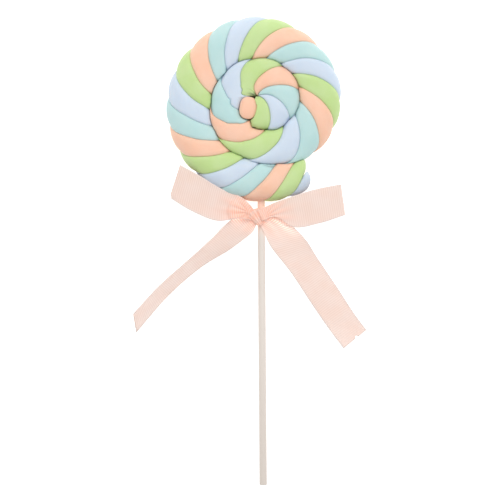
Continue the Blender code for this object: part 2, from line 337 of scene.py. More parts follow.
class EffectGroup:
    """A shared effect as a shader node group with named inputs and outputs."""

    def __init__(
        self, name: str, inputs: dict[str, tuple[str, object]], outputs: dict[str, str]
    ) -> None:
        """Make the empty group.

        Args:
            name: The group's name.
            inputs: Socket type and default value of each input.
            outputs: Socket type of each output.
        """
        self.tree = bpy.data.node_groups.new(name, "ShaderNodeTree")
        for label, (kind, default) in inputs.items():
            socket = self.tree.interface.new_socket(label, in_out="INPUT", socket_type="NodeSocket" + kind)
            if default is not None:
                socket.default_value = default
        for label, kind in outputs.items():
            self.tree.interface.new_socket(label, in_out="OUTPUT", socket_type="NodeSocket" + kind)
        self.wiring = Wiring(self.tree)
        self.taken = self.tree.nodes.new("NodeGroupInput").outputs
        self.given = self.tree.nodes.new("NodeGroupOutput").inputs

    def give(self, label: str, value: bpy.types.NodeSocket) -> None:
        """Send a value to one of the group's outputs."""
        self.wiring.feed(self.given[label], value)

    def place(self, wiring: Wiring, **sockets: object) -> bpy.types.Node:
        """Put the group into a material.

        Args:
            wiring: The material's wiring.
            **sockets: Inputs by name, with _ for a space.

        Returns:
            The group's node there.
        """
        made = wiring.tree.nodes.new("ShaderNodeGroup")
        made.node_tree = self.tree
        for name, value in sockets.items():
            wiring.feed(made.inputs[name.replace("_", " ")], value)
        return made


def grain_group() -> EffectGroup:
    """Build the fine grain of powder or paper fibre.

    Returns:
        A group with a Height for bump, and slow Mottling from 0 to 1.
    """
    group = EffectGroup(
        "fine_grain",
        {"Place": ("Vector", None), "Grain": ("Float", 900.0), "Patch": ("Float", 70.0)},
        {"Height": "Float", "Mottling": "Float"},
    )
    wiring, taken = group.wiring, group.taken
    grain = wiring.noise(taken["Place"], taken["Grain"], 3.0, 0.6)
    pores = wiring.noise(taken["Place"], wiring.times(taken["Grain"], 0.28), 2.0)
    group.give("Height", wiring.plus(grain, wiring.times(pores, 0.8)))
    group.give("Mottling", wiring.noise(taken["Place"], taken["Patch"], 3.0))
    return group


def dye_group() -> EffectGroup:
    """Build the colour of dyed stuff that deepens by a mask: gathers on the ribbon, painted crease shade on
    the marshmallow.

    Returns:
        A group that gives the Colour.
    """
    group = EffectGroup(
        "gathered_dye_and_crease_shade",
        {
            "Dye": ("Color", None),
            "Deep Dye": ("Color", None),
            "Pressed": ("Float", 0.0),
            "Mottling": ("Float", 0.5),
            "Paleness": ("Float", 0.1),
        },
        {"Colour": "Color"},
    )
    wiring, taken = group.wiring, group.taken
    pale = wiring.times(taken["Paleness"], wiring.band(taken["Mottling"], 0.35, 0.65, 0.0, 1.0))
    powdered = wiring.blend(pale, taken["Dye"], WHITE)
    # The deep colour is mixed in by a mask: gathers on the ribbon, painted crease shade on the marshmallow.
    group.give("Colour", wiring.blend(taken["Pressed"], powdered, taken["Deep Dye"]))
    return group


def weave_group() -> EffectGroup:
    """Build a ribbon's crosswise ribs, fine threads and woven edges, from its flat coordinates.

    Returns:
        A group with a Height for bump, and masks for the Rib, the Thread and the Selvedge.
    """
    group = EffectGroup(
        "ribbed_weave",
        {
            "Flat": ("Vector", None),
            "Rib Pitch": ("Float", 0.0011),
            "Thread Pitch": ("Float", 0.0003),
            "Width": ("Float", 0.015),
            "Edge": ("Float", 0.0007),
        },
        {"Height": "Float", "Rib": "Float", "Thread": "Float", "Selvedge": "Float"},
    )
    wiring, taken = group.wiring, group.taken
    flat = wiring.node("SeparateXYZ", Vector=taken["Flat"]).outputs

    def stripes(distance: object, pitch: object) -> bpy.types.NodeSocket:
        """Give waves from 0 to 1 with this pitch."""
        turns = wiring.math("DIVIDE", wiring.times(distance, 2 * math.pi), pitch)
        return wiring.scaled(wiring.math("SINE", turns), 0.5, 0.5)

    wander = wiring.times(wiring.noise(taken["Flat"], 160.0, 2.0), 0.0006)
    rib = stripes(wiring.plus(flat["X"], wander), taken["Rib Pitch"])
    threads = wiring.times(stripes(flat["Y"], taken["Thread Pitch"]), 0.5)
    thread = wiring.plus(threads, wiring.times(wiring.noise(taken["Flat"], 2600.0, 2.0), 0.5))
    half = wiring.times(taken["Width"], 0.5)
    aside = wiring.math("ABSOLUTE", wiring.math("SUBTRACT", flat["Y"], half))
    inside = wiring.math("DIVIDE", wiring.math("SUBTRACT", half, aside), taken["Edge"])
    selvedge = wiring.band(wiring.math("SUBTRACT", 1.0, inside), 0.0, 0.5, 0.0, 1.0)
    group.give("Rib", rib)
    group.give("Thread", thread)
    group.give("Selvedge", selvedge)
    group.give("Height", wiring.plus(wiring.plus(rib, wiring.times(thread, 0.35)), selvedge))
    return group


GRAIN = grain_group()
DYE = dye_group()
WEAVE = weave_group()


@dataclass(frozen=True)
class Finish:
    """What every finish shares: a name, and a Principled shader that its pattern feeds."""

    name: str

    def material(self) -> bpy.types.Material:
        """Build the material.

        Returns:
            The new material.
        """
        material = bpy.data.materials.new(self.name)
        material.use_nodes = True
        wiring = Wiring(material.node_tree)
        shader = material.node_tree.nodes["Principled BSDF"]
        for label, value in self.pattern(wiring).items():
            wiring.feed(shader.inputs[label], value)
        return material

    def pattern(self, wiring: Wiring) -> dict[str, object]:
        """Build the finish's pattern.

        Args:
            wiring: The material's wiring.

        Returns:
            What the shader's inputs get: outputs to link, or values.
        """
        raise NotImplementedError


@dataclass(frozen=True)
class MarshmallowFinish(Finish):
    """Soft dyed marshmallow under a bloom of fine powder, with painted shade that deepens its colour in its
    creases.
    """

    dye: Colour
    # Colour of the painted shade in the creases and where turns touch.
    crease_shade_colour: Colour
    roughness: float = 0.62
    roughness_spread: float = 0.06
    softness: float = 0.35
    light_reach: float = 0.0022
    grain_height: float = 0.00003

    def pattern(self, wiring: Wiring) -> dict[str, object]:
        """Dye the marshmallow, paint shade into its creases, and powder it.

        Args:
            wiring: The material's wiring.

        Returns:
            What the shader's inputs get.
        """
        grain = GRAIN.place(wiring, Place=wiring.object_place(), Grain=1400.0, Patch=90.0).outputs
        # Painted shade: the creases, hidden sides and touching turns take the darker colour.
        dyed = DYE.place(
            wiring,
            Dye=(*self.dye, 1.0),
            Deep_Dye=(*self.crease_shade_colour, 1.0),
            Pressed=wiring.attribute("pressed"),
            Mottling=grain["Mottling"],
            Paleness=0.07,
        )
        smoothest, roughest = self.roughness - self.roughness_spread, self.roughness + self.roughness_spread
        return {
            "Base Color": dyed.outputs["Colour"],
            "Roughness": wiring.band(grain["Mottling"], 0.3, 0.7, smoothest, roughest),
            "Normal": wiring.bump(grain["Height"], self.grain_height, 0.6),
            "Subsurface Weight": self.softness,
            "Subsurface Scale": self.light_reach,
            "Subsurface Radius": (1.0, 0.8, 0.7),
            "Sheen Weight": 0.12,
            "Sheen Roughness": 0.5,
            "Specular IOR Level": 0.35,
        }


@dataclass(frozen=True)
class PaperFinish(Finish):
    """Rolled white paper: long fibres, a faint spiral seam, painted shade towards its free end, and a
    painted peach reflection of the head beside it.

    Attributes:
        colour: The clean paper.
        shade: Its seam, its darker fibres, and the painted shade towards its free end.
        painted_reflection: Colour of the painted peach reflection of the head on the paper beside it.
        painted_reflection_end: Distances along the stick between which that painted reflection fades.
        painted_end_shade_from: Distances along it between which painted shade darkens it towards the free
            end.
        painted_end_shade: How much that painted shade darkens it.
        seam_pitch: Length of one turn of the seam.
        seam_width: Width of the seam, as a share of that length.
    """

    colour: Colour = (0.79, 0.72, 0.66)
    shade: Colour = (0.67, 0.60, 0.54)
    painted_reflection: Colour = (0.98, 0.72, 0.60)
    painted_reflection_end: tuple[float, float] = (0.037, 0.056)
    painted_end_shade_from: tuple[float, float] = (0.08, 0.19)
    painted_end_shade: float = 0.75
    seam_pitch: float = 0.021
    seam_width: float = 0.03

    def pattern(self, wiring: Wiring) -> dict[str, object]:
        """Roll the paper, and paint shade and the head's peach reflection along the stick.

        Args:
            wiring: The material's wiring.

        Returns:
            What the shader's inputs get.
        """
        stretched = wiring.node("Mapping", Vector=wiring.object_place(), Scale=(1.0, 0.12, 1.0)).outputs[0]
        fibres = GRAIN.place(wiring, Place=stretched, Grain=1800.0, Patch=500.0).outputs
        along = wiring.node("SeparateXYZ", Vector=wiring.flat_place()).outputs
        turn = wiring.plus(wiring.math("DIVIDE", along["X"], self.seam_pitch), along["Y"])
        seam = wiring.band(wiring.math("FRACT", turn), 0.0, self.seam_width, 1.0, 0.0)
        tint = wiring.plus(wiring.times(seam, 0.35), wiring.times(fibres["Mottling"], 0.3))
        # Painted shade: the paper darkens towards its free end.
        tint = wiring.plus(tint, wiring.band(along["X"], *self.painted_end_shade_from, 0.0, self.painted_end_shade))
        paper = wiring.blend(tint, (*self.colour, 1.0), (*self.shade, 1.0))
        # Painted reflection: a peach tint of light from the head on the paper beside it.
        painted_reflection = wiring.band(along["X"], *self.painted_reflection_end, 1.0, 0.0)
        height = wiring.math("SUBTRACT", fibres["Height"], wiring.times(seam, 1.5))
        return {
            "Base Color": wiring.blend(painted_reflection, paper, (*self.painted_reflection, 1.0)),
            "Roughness": wiring.band(fibres["Mottling"], 0.3, 0.7, 0.45, 0.6),
            "Normal": wiring.bump(height, 0.00002, 0.6),
            "Specular IOR Level": 0.4,
        }


@dataclass(frozen=True)
class RibbonFinish(Finish):
    """Sheer ribbed ribbon, deeper in colour and less sheer where gathered, with a painted glow near the knot.

    Attributes:
        colour: One flat layer.
        gathered: Where it is gathered.
        edge: Its woven edges.
        paler_ribs: How much paler its ribs are where it is gathered, and how much everywhere.
        glow: Colour of the painted glow that stands in for light shining through it from the pale floor.
        brightest_painted_glow: How strong that painted glow is where other layers cover it.
        painted_glow_on_ribs: How much brighter the painted glow is on the ribs, and how bright between them.
        cover: How much of what lies behind one layer is covered.
        rib_cover: How much more its ribs cover.
        edge_cover: How much more its woven edges cover.
        gathered_cover: How much more its gathers cover.
    """

    colour: Colour = (0.965, 0.745, 0.65)
    gathered: Colour = (1.0, 0.50, 0.355)
    edge: Colour = (0.78, 0.67, 0.63)
    paler_ribs: tuple[float, float] = (0.16, 0.12)
    glow: Colour = (1.0, 0.78, 0.68)
    brightest_painted_glow: float = 0.21
    painted_glow_on_ribs: tuple[float, float] = (0.9, 0.55)
    cover: float = 0.78
    rib_cover: float = 0.06
    edge_cover: float = 0.2
    gathered_cover: float = 0.25

    def pattern(self, wiring: Wiring) -> dict[str, object]:
        """Weave the ribbon, dye it, let what lies behind show through, and paint a glow into its shaded
        parts.

        Args:
            wiring: The material's wiring.

        Returns:
            What the shader's inputs get.
        """
        flat = wiring.flat_place()
        weave = WEAVE.place(wiring, Flat=flat).outputs
        gathered = wiring.attribute("gathered")
        dyed = DYE.place(
            wiring,
            Dye=(*self.colour, 1.0),
            Deep_Dye=(*self.gathered, 1.0),
            Pressed=gathered,
            Mottling=wiring.noise(flat, 120.0, 2.0),
            Paleness=0.12,
        )
        paleness = wiring.times(weave["Rib"], wiring.scaled(gathered, *self.paler_ribs))
        ribbed = wiring.blend(paleness, dyed.outputs["Colour"], WHITE)
        cover = wiring.scaled(weave["Rib"], self.rib_cover, self.cover - self.rib_cover / 2)
        cover = wiring.scaled(weave["Selvedge"], self.edge_cover, cover)
        cover = wiring.scaled(gathered, self.gathered_cover, cover)
        # Painted glow: emission that lifts the shaded ribbon near the knot, standing in for the floor's light
        # passing through it.
        glow = wiring.times(wiring.attribute("painted_glow"), self.brightest_painted_glow)
        return {
            "Base Color": wiring.blend(wiring.times(weave["Selvedge"], 0.6), ribbed, (*self.edge, 1.0)),
            "Alpha": wiring.math("MINIMUM", cover, 1.0),
            "Roughness": wiring.band(weave["Thread"], 0.2, 0.8, 0.45, 0.65),
            "Normal": wiring.bump(weave["Height"], 0.00004, 0.5),
            "Emission Color": (*self.glow, 1.0),
            "Emission Strength": wiring.times(glow, wiring.scaled(weave["Rib"], *self.painted_glow_on_ribs)),
            "Sheen Weight": 0.25,
            "Sheen Roughness": 0.4,
            "Specular IOR Level": 0.45,
        }


@dataclass(frozen=True)
class FloorFinish(Finish):
    """Plain pale studio paper that glows a little, so that shadows on it stay faint."""

    colour: Colour = (0.7, 0.7, 0.7)
    fibre: Colour = (0.6, 0.6, 0.6)
    glow: float = 0.72

    def pattern(self, wiring: Wiring) -> dict[str, object]:
        """Mottle the paper faintly.

        Args:
            wiring: The material's wiring.

        Returns:
            What the shader's inputs get.
        """
        grain = GRAIN.place(wiring, Place=wiring.object_place(), Grain=400.0, Patch=3.0).outputs
        tint = wiring.times(grain["Mottling"], 0.01)
        return {
            "Base Color": wiring.blend(tint, (*self.colour, 1.0), (*self.fibre, 1.0)),
            "Roughness": 0.9,
            "Emission Color": WHITE,
            "Emission Strength": self.glow,
        }


# ---------------------------------------------------------------------------
# The marshmallow head
# ---------------------------------------------------------------------------


class Strand(Enum):
    """The rope's four strands, in the order in which they pass over its front."""

    LAVENDER = 0
    GREEN = 1
    PEACH = 2
    AQUA = 3


def bearing(place: Numbers) -> Numbers:
    """Give the angle from +X at which a place on the coil lies."""
    return -EIGHTH_TURN * (place + 1)


@dataclass(frozen=True)
class Stretch:
    """A stretch of the coil over which something comes in, and may go out again.

    Attributes:
        start: The place from which it comes in.
        rise: How many eighths of a turn that takes.
        end: The place from which it goes out again.
        fall: How many eighths of a turn that takes.
        amount: Its full strength.
    """

    start: float
    rise: float
    end: float = math.inf
    fall: float = 1.0
    amount: float = 1.0

    def at(self, place: Numbers) -> np.ndarray:
        """Give its strength at each place."""
        return self.amount * ramp(place, self.start, self.rise) * (1 - ramp(place, self.end, self.fall))


@dataclass(frozen=True)
class RopeEnd:
    """The egg-shaped end of the rope beside the swirl's middle, seen from above.

    Attributes:
        centre: Its middle.
        half_sizes: Half of its short and of its long side.
        lean: How far its long side leans to the right.
        fullness: Power of its outline, 2 for an ellipse and more for a squarer one.
        foot: Share by which its lower half is wider, under its neighbours.
        foot_height: How far below its middle the foot is full, as a share of half its height.
        crown: Share of half its height that is domed, over straight sides.
        side_turn: How sharply the sides turn in, as a share of half its height.
        lowest: How high its underside stands.
    """

    centre: tuple[float, float] = (-0.00533, -0.00663)
    half_sizes: tuple[float, float] = (0.00449, 0.00566)
    lean: float = math.radians(8.0)
    fullness: float = 2.5
    foot: float = 0.34
    foot_height: float = 0.3
    crown: float = 0.2
    side_turn: float = 0.08
    lowest: float = 0.0004

    def swell(self, across: Numbers, along: Numbers) -> Numbers:
        """Tell how much further than an ellipse its outline reaches in a direction."""
        fullness = self.fullness
        return (np.abs(across) ** fullness + np.abs(along) ** fullness + 1e-9) ** (-1 / fullness)

    def axes(self) -> tuple[np.ndarray, np.ndarray]:
        """Give the directions of its short and of its long side."""
        short = np.array([math.cos(self.lean), -math.sin(self.lean)])
        return short, np.array([math.sin(self.lean), math.cos(self.lean)])

    def far_side(self, place: np.ndarray) -> np.ndarray:
        """Find where the line from the swirl's middle through a place leaves it.

        Args:
            place: Places along the coil.

        Returns:
            The radius of each crossing, or of the nearest point where the line misses.
        """
        angle = bearing(place)
        short, long = (side / half for side, half in zip(self.axes(), self.half_sizes))
        across = np.cos(angle) * short[0] + np.sin(angle) * short[1]
        along = np.cos(angle) * long[0] + np.sin(angle) * long[1]
        middle = np.array([np.dot(self.centre, short), np.dot(self.centre, long)])
        length = across**2 + along**2
        towards = across * middle[0] + along * middle[1]
        inside = np.maximum(towards**2 - length * (middle @ middle - 1), 0.0)
        far = (towards + np.sqrt(inside)) / length
        swell = self.swell(far * across - middle[0], far * along - middle[1])
        offset = np.stack([far * np.cos(angle), far * np.sin(angle)], axis=-1) - self.centre
        swollen = np.linalg.norm(self.centre + offset * swell[..., None], axis=-1)
        return np.where(inside > 0, swollen, far)

    def shaped(self, ball: Vector, middle_height: float, half_height: float) -> Vector:
        """Move a point of a ball to the egg.

        Args:
            ball: A point of a ball of radius 1.
            middle_height: Height of the egg's middle.
            half_height: Half of the egg's height.

        Returns:
            The point from the swirl's middle.
        """
        around = max(math.hypot(ball.x, ball.y), 1e-6)
        swell = self.swell(ball.x / around, ball.y / around)
        swell *= 1 + self.foot * float(ramp(-ball.z, 0.0, self.foot_height))
        short, long = self.axes()
        across, along = ball.x * self.half_sizes[0], ball.y * self.half_sizes[1]
        plan = self.centre + swell * (across * short + along * long)
        up = (1 - self.crown) * math.tanh(ball.z / self.side_turn) + self.crown * ball.z
        return Vector((*plan, max(middle_height + half_height * up, self.lowest)))


@dataclass(frozen=True)
class Coil:
    """Where the rope runs, read clockwise from its tail towards the swirl's middle.

    A place is counted in eighths of a turn, from 45 degrees below +X. A section of the rope is read by
    its turn: the angle from up towards outwards.

    Attributes:
        edge_radii: The rope's outer edge from the swirl's middle, at each eighth of a turn.
        strands_passed: How many strands have passed over its front, at each eighth of a turn.
        inner_sweeps: How much of its inner side shows before it dips under the next turn, at each quarter.
        tip: The place where the rope ends.
        tip_length: How many eighths of a turn its edge takes to close there.
        end: The shape of its end.
        ending: Where its edge takes on the shape of the end.
        thinning: Where it would thin out if it had no rounded end.
        meeting: Where it comes to lie inside a turn of its own.
        green_on_top: How many strands have passed where green's outer crease is on top.
        covered_from: The place past which green covers the front alone.
        covered_turn: The turn to which it does so, at least.
        core_radius: Half of the hole that is left at the swirl's middle.
        least_width: The least width from middle to edge that the creases are fitted to.
        wave: How far each strand bulges out of the outer edge.
        wave_power: How flat these bulges are, less than 1 for flatter ones.
        wave_mean: Share of a bulge that lies inside the edge.
        wave_calm: How much weaker they are on the free outer edge.
        wave_fading: How many eighths of a turn before the tip they fade.
        core: Where the creases straighten, near the swirl's middle.
        straightness: How far they straighten on their outer side.
        steepness: How straight they are on their inner side, before the core.
        slopes: The least and the most slope that they have at the rope's middle.
        dip: How much of the outer side dips under the turn outside it.
        pull: Where the creases are pulled inwards.
        nip: Place, length and strength of the pull on the creases beside the rope's end.
        lift: Where the innermost strands spread and close over the rope's end.
        lift_edge: How close to the inner edge this starts.
        bulge: Where the strands that run in under the rope's end bulge outwards.
    """

    edge_radii: tuple[float, ...] = (
        0.0545, 0.0541, 0.0506, 0.0466, 0.0414, 0.0400, 0.0396, 0.0422, 0.0410, 0.0343,
        0.0297, 0.0237, 0.0201, 0.0189, 0.0197, 0.0208, 0.0202, 0.0176, 0.0133,
    )
    strands_passed: tuple[float, ...] = (
        -0.1, 3.15, 6.35, 9.05, 11.45, 13.65, 15.7, 17.8, 19.95, 21.5,
        22.85, 24.28, 25.28, 26.15, 27.05, 28.1, 29.1, 30.25, 30.6, 30.8,
    )
    inner_sweeps: tuple[float, ...] = (0.85, 0.95, 0.95, 0.74, 0.82, 0.91, 0.95, 0.95, 0.95, 0.95)
    tip: float = 18.74
    tip_length: float = 0.15
    end: RopeEnd = RopeEnd()
    ending: Stretch = Stretch(17.24, 0.26)
    thinning: Stretch = Stretch(17.2, 2.6)
    meeting: Stretch = Stretch(7.6, 0.8)
    green_on_top: int = 29
    covered_from: float = 14.5
    covered_turn: float = math.radians(-97.0)
    core_radius: float = 0.0001
    least_width: float = 0.0005
    wave: float = 0.0007
    wave_power: float = 0.7
    wave_mean: float = 0.72
    wave_calm: float = 0.35
    wave_fading: float = 1.5
    core: Stretch = Stretch(11.0, 2.5)
    straightness: float = 0.7
    steepness: float = 0.85
    slopes: tuple[float, float] = (0.8, 1.7)
    dip: float = 0.05
    pull: Stretch = Stretch(11.7, 2.8, amount=1.1)
    nip: tuple[float, float, float] = (11.3, 0.4, 0.8)
    lift: Stretch = Stretch(10.42, 0.85, 11.5, 0.5, amount=0.56)
    lift_edge: float = 0.025
    bulge: Stretch = Stretch(9.8, 0.25, 10.45, 0.35, amount=0.56)

    def spiral(self, place: np.ndarray) -> np.ndarray:
        """Give the outer edge of the spiral that the rope is laid in."""
        return smooth_curve(self.edge_radii, np.minimum(place, len(self.edge_radii) - 1.0))

    def even_edge(self, place: np.ndarray) -> np.ndarray:
        """Give the rope's outer edge as if it thinned out evenly at its end."""
        return self.spiral(place) * (1 - self.thinning.at(place))

    def edge(self, place: np.ndarray) -> np.ndarray:
        """Give the rope's outer edge, which follows its rounded end and is nothing past its tip.

        Args:
            place: Places along the coil.

        Returns:
            The radii.
        """
        spiral = self.spiral(place)
        far = self.end.far_side(np.minimum(place, self.tip))
        lobes = np.abs(np.sin(math.pi * self.passed(place))) ** self.wave_power
        calm = 1 - self.wave_calm * (1 - self.meeting.at(place))
        bulging = self.wave * (lobes - self.wave_mean) * ramp(self.tip - place, 0.0, self.wave_fading) * calm
        open_share = 1 - ramp(place, self.tip, self.tip_length)
        return (spiral + (far - spiral) * self.ending.at(place)) * open_share + bulging

    def inner_edge(self, place: np.ndarray) -> np.ndarray:
        """Give the rope's inner edge, which is the next turn's outer edge."""
        return np.maximum(self.edge(place + NEXT_TURN), self.core_radius)

    def middle(self, place: np.ndarray) -> np.ndarray:
        """Give the radius of the rope's middle."""
        inner = np.maximum(self.even_edge(place + NEXT_TURN), self.core_radius)
        return (self.even_edge(place) + inner) / 2

    def passed(self, place: np.ndarray) -> np.ndarray:
        """Give how many strands have passed over the front."""
        return smooth_curve(self.strands_passed, place)

    def creases(self, place: np.ndarray, strand: Strand) -> tuple[np.ndarray, np.ndarray]:
        """Find the turns at which a strand's share of the section starts and ends.

        The green strand covers the front alone near the tip, and the others pass under it.

        Args:
            place: Places along the coil.
            strand: Which strand.

        Returns:
            The turns of its outer and of its inner crease.
        """
        first = (self.passed(place) - self.green_on_top) * (math.pi / 2)
        second = first - math.pi / 2
        second = np.where(place > self.covered_from, np.minimum(second, self.covered_turn), second)
        others = (second - first + 2 * math.pi) / 3
        order = (strand.value - Strand.GREEN.value) % len(Strand)
        if order == 0:
            return first, second
        return second - (order - 1) * others, second - order * others

    def reach(self, place: np.ndarray, turn: np.ndarray) -> np.ndarray:
        """Tell how far across the section a turn lies, from -1 at its inner edge to 1 at its outer.

        Args:
            place: Places along the coil.
            turn: Turns in each section.

        Returns:
            The shares of the way from the middle to either edge.
        """
        core = self.core.at(place)
        steep = self.steepness + (1 - self.steepness) * core
        sweep = smooth_curve(self.inner_sweeps, place / 2)
        even = np.arcsin(np.sin(turn)) / (math.pi / 2)
        hidden = np.clip(even / sweep, -1.0, 0.0)
        inwards = (1 - steep) * np.sin(hidden * math.pi / 2) + steep * hidden
        middle = self.middle(place)
        widths = (middle - self.inner_edge(place)) / np.maximum(self.edge(place) - middle, self.least_width)
        slope = np.clip(widths * (steep + (1 - steep) * math.pi / 2) / sweep, *self.slopes)
        out = np.clip(even / (1 - self.dip * self.meeting.at(place)), 0.0, 1.0)
        eased = slope * out + (3 - 2 * slope) * out**2 + (slope - 2) * out**3
        straight = self.straightness * core
        outwards = (1 - straight) * eased + straight * out
        return self.spread(place, np.where(even > 0, outwards, inwards))

    def spread(self, place: np.ndarray, reach: np.ndarray) -> np.ndarray:
        """Shift the innermost creases where they close over and run in under the rope's end.

        Args:
            place: Places along the coil.
            reach: How far across the section each point lies, from -1 to 1.

        Returns:
            The shifted reach.
        """
        share = np.clip((1 + reach) / 2, 0.0, 1.0)
        share = share + self.lift.at(place) * (1 - np.exp(-share / self.lift_edge)) * (1 - share) ** 2
        share = share + self.bulge.at(place) * share * (1 - share)
        nip_place, nip_length, nip_pull = self.nip
        pulled = 1 + self.pull.at(place) + nip_pull * hump(place, nip_place, nip_length)
        return 2 * share**pulled - 1


@dataclass(frozen=True)
class StrandShape:
    """How a strand fills its share of the rope's section.

    Attributes:
        half_height: Half of the rope's height.
        rest_flat: How far the underside is squashed flat.
        centre_rise: How much prouder the swirl stands towards its middle.
        wall: Share of that height over which neighbouring turns are squeezed together.
        wall_turn: How sharply the top turns down into that wall, as a cosine.
        fullness: Power of the section's free outline, 2 for an ellipse and more for a fuller one.
        crease_depth: Share of the rope's radius that a crease is deep.
        crease_power: How late the strand's face turns down into the crease.
        side_painted_shade: How much painted shade its sides get, inside the rope.
        crease_painted_shade: How much painted shade its face gets at a crease, and how late that starts, as a
            power.
        turn_painted_shade: How much painted shade it gets where it touches the next turn, and the reach
            between which that grows.
        pit: How much deeper a crease is where it meets the next turn; the pit also gets painted shade.
        pit_from: The reach from which the pit deepens, and over how much.
        pit_power: How narrow the pit is across the strand, as a power.
        skin: Share of the way out past which a point is on the face.
        gap: Clearance between strands, as an angle in the section.
        clearance: Clearance between turns.
        end_rounding: Length of the rounded ends.
        end_rings: How many rings round an end off.
        cap_shares: Sizes of the rings that close a cut end, as shares of it.
        core_share: Share of the way out at which a strand's inner corner lies.
        side_shares: Shares of the way out at which its sides have points.
        arc_points: How many points its face has.
    """

    half_height: float = 0.0105
    rest_flat: float = 0.0005
    centre_rise: Stretch = Stretch(6.0, 12.0, amount=0.0011)
    wall: float = 0.71
    wall_turn: float = 0.04
    fullness: float = 2.25
    crease_depth: float = 0.115
    crease_power: float = 2.8
    side_painted_shade: float = 0.4
    crease_painted_shade: tuple[float, int] = (0.1, 24)
    turn_painted_shade: tuple[float, float, float] = (0.25, 0.94, 1.0)
    pit: float = 0.0014
    pit_from: tuple[float, float] = (0.78, 0.22)
    pit_power: int = 6
    skin: float = 0.8
    gap: float = 0.004
    clearance: float = 0.00002
    end_rounding: float = 0.0024
    end_rings: int = 16
    cap_shares: tuple[float, ...] = (0.0, 0.35, 0.7)
    core_share: float = 0.004
    side_shares: tuple[float, ...] = (0.4, 0.75)
    arc_points: int = 29

    def outline(self) -> tuple[np.ndarray, np.ndarray, np.ndarray]:
        """Draw a strand's share of the section: a point at the middle, two sides and a rounded face.

        Returns:
            For each corner how far across its share it lies from -1 to 1, its share of the way out
            from the middle, and how much painted shade it gets.
        """
        steps = np.sin(np.linspace(-math.pi / 2, math.pi / 2, self.arc_points))
        rounding = 1 - np.sqrt(np.maximum(1 - np.abs(steps) ** self.crease_power, 0.0))
        face = 1 - self.crease_depth * rounding
        sides, core = np.array(self.side_shares) * face[0], [self.core_share]
        across = np.concatenate([[0.0], np.full(len(sides), -1.0), steps, np.full(len(sides), 1.0), [0.0]])
        share = np.concatenate([core, sides, face, sides[::-1], core])
        # Painted shade on the hidden sides and on the face close to each crease.
        inside = np.full(len(sides) + 1, self.side_painted_shade)
        most, power = self.crease_painted_shade
        pressed = np.concatenate([inside, most * np.abs(steps) ** power, inside])
        return across[None, :], share[None, :], pressed[None, :]


@dataclass(frozen=True)
class WrappedTip:
    """The green strand's tip, which fits round the egg.

    Attributes:
        beside: The place where it ends beside the egg.
        inner: How many eighths of a turn further it runs at the swirl's middle.
        inner_radius: Distance from there over which that fades.
        inner_power: How abruptly it fades.
        outer: How many eighths further it runs at its outer side.
        outer_from: The radius from which that grows, and over how much.
        shaping: Where along the strand its rings are shifted to fit.
    """

    beside: float = 17.17
    inner: float = 1.5
    inner_radius: float = 0.0032
    inner_power: float = 2.5
    outer: float = 0.15
    outer_from: tuple[float, float] = (0.007, 0.0065)
    shaping: Stretch = Stretch(16.2, 1.22)

    def shift(self, places: np.ndarray, radius: np.ndarray, tip: float) -> np.ndarray:
        """Shift the strand's rings so that its tip fits.

        Args:
            places: The place of each ring.
            radius: The radius of each corner.
            tip: The place of the last ring.

        Returns:
            How far each corner is shifted, in eighths of a turn.
        """
        start, width = self.outer_from
        inner = self.inner * hump(np.maximum(radius, 0.0), 0.0, self.inner_radius, self.inner_power)
        outer = self.outer * (np.maximum(radius - start, 0.0) / width) ** 2
        return (self.beside + inner + outer - tip) * self.shaping.at(places)


@dataclass(frozen=True)
class StrandPlan:
    """What sets one strand apart from the others.

    Attributes:
        finish: Its finish.
        tail: How far right the cut end of its tail reaches, and at which radius it does.
        tip: The place where it ends.
        tail_size: Share of its full section that is left where its tail is cut.
        tip_size: Share of it that is left at its tip.
        wrapped: How its tip fits round the egg, or None.
    """

    finish: MarshmallowFinish
    tail: tuple[float, float]
    tip: float
    tail_size: float = 0.62
    tip_size: float = 0.62
    wrapped: WrappedTip | None = None


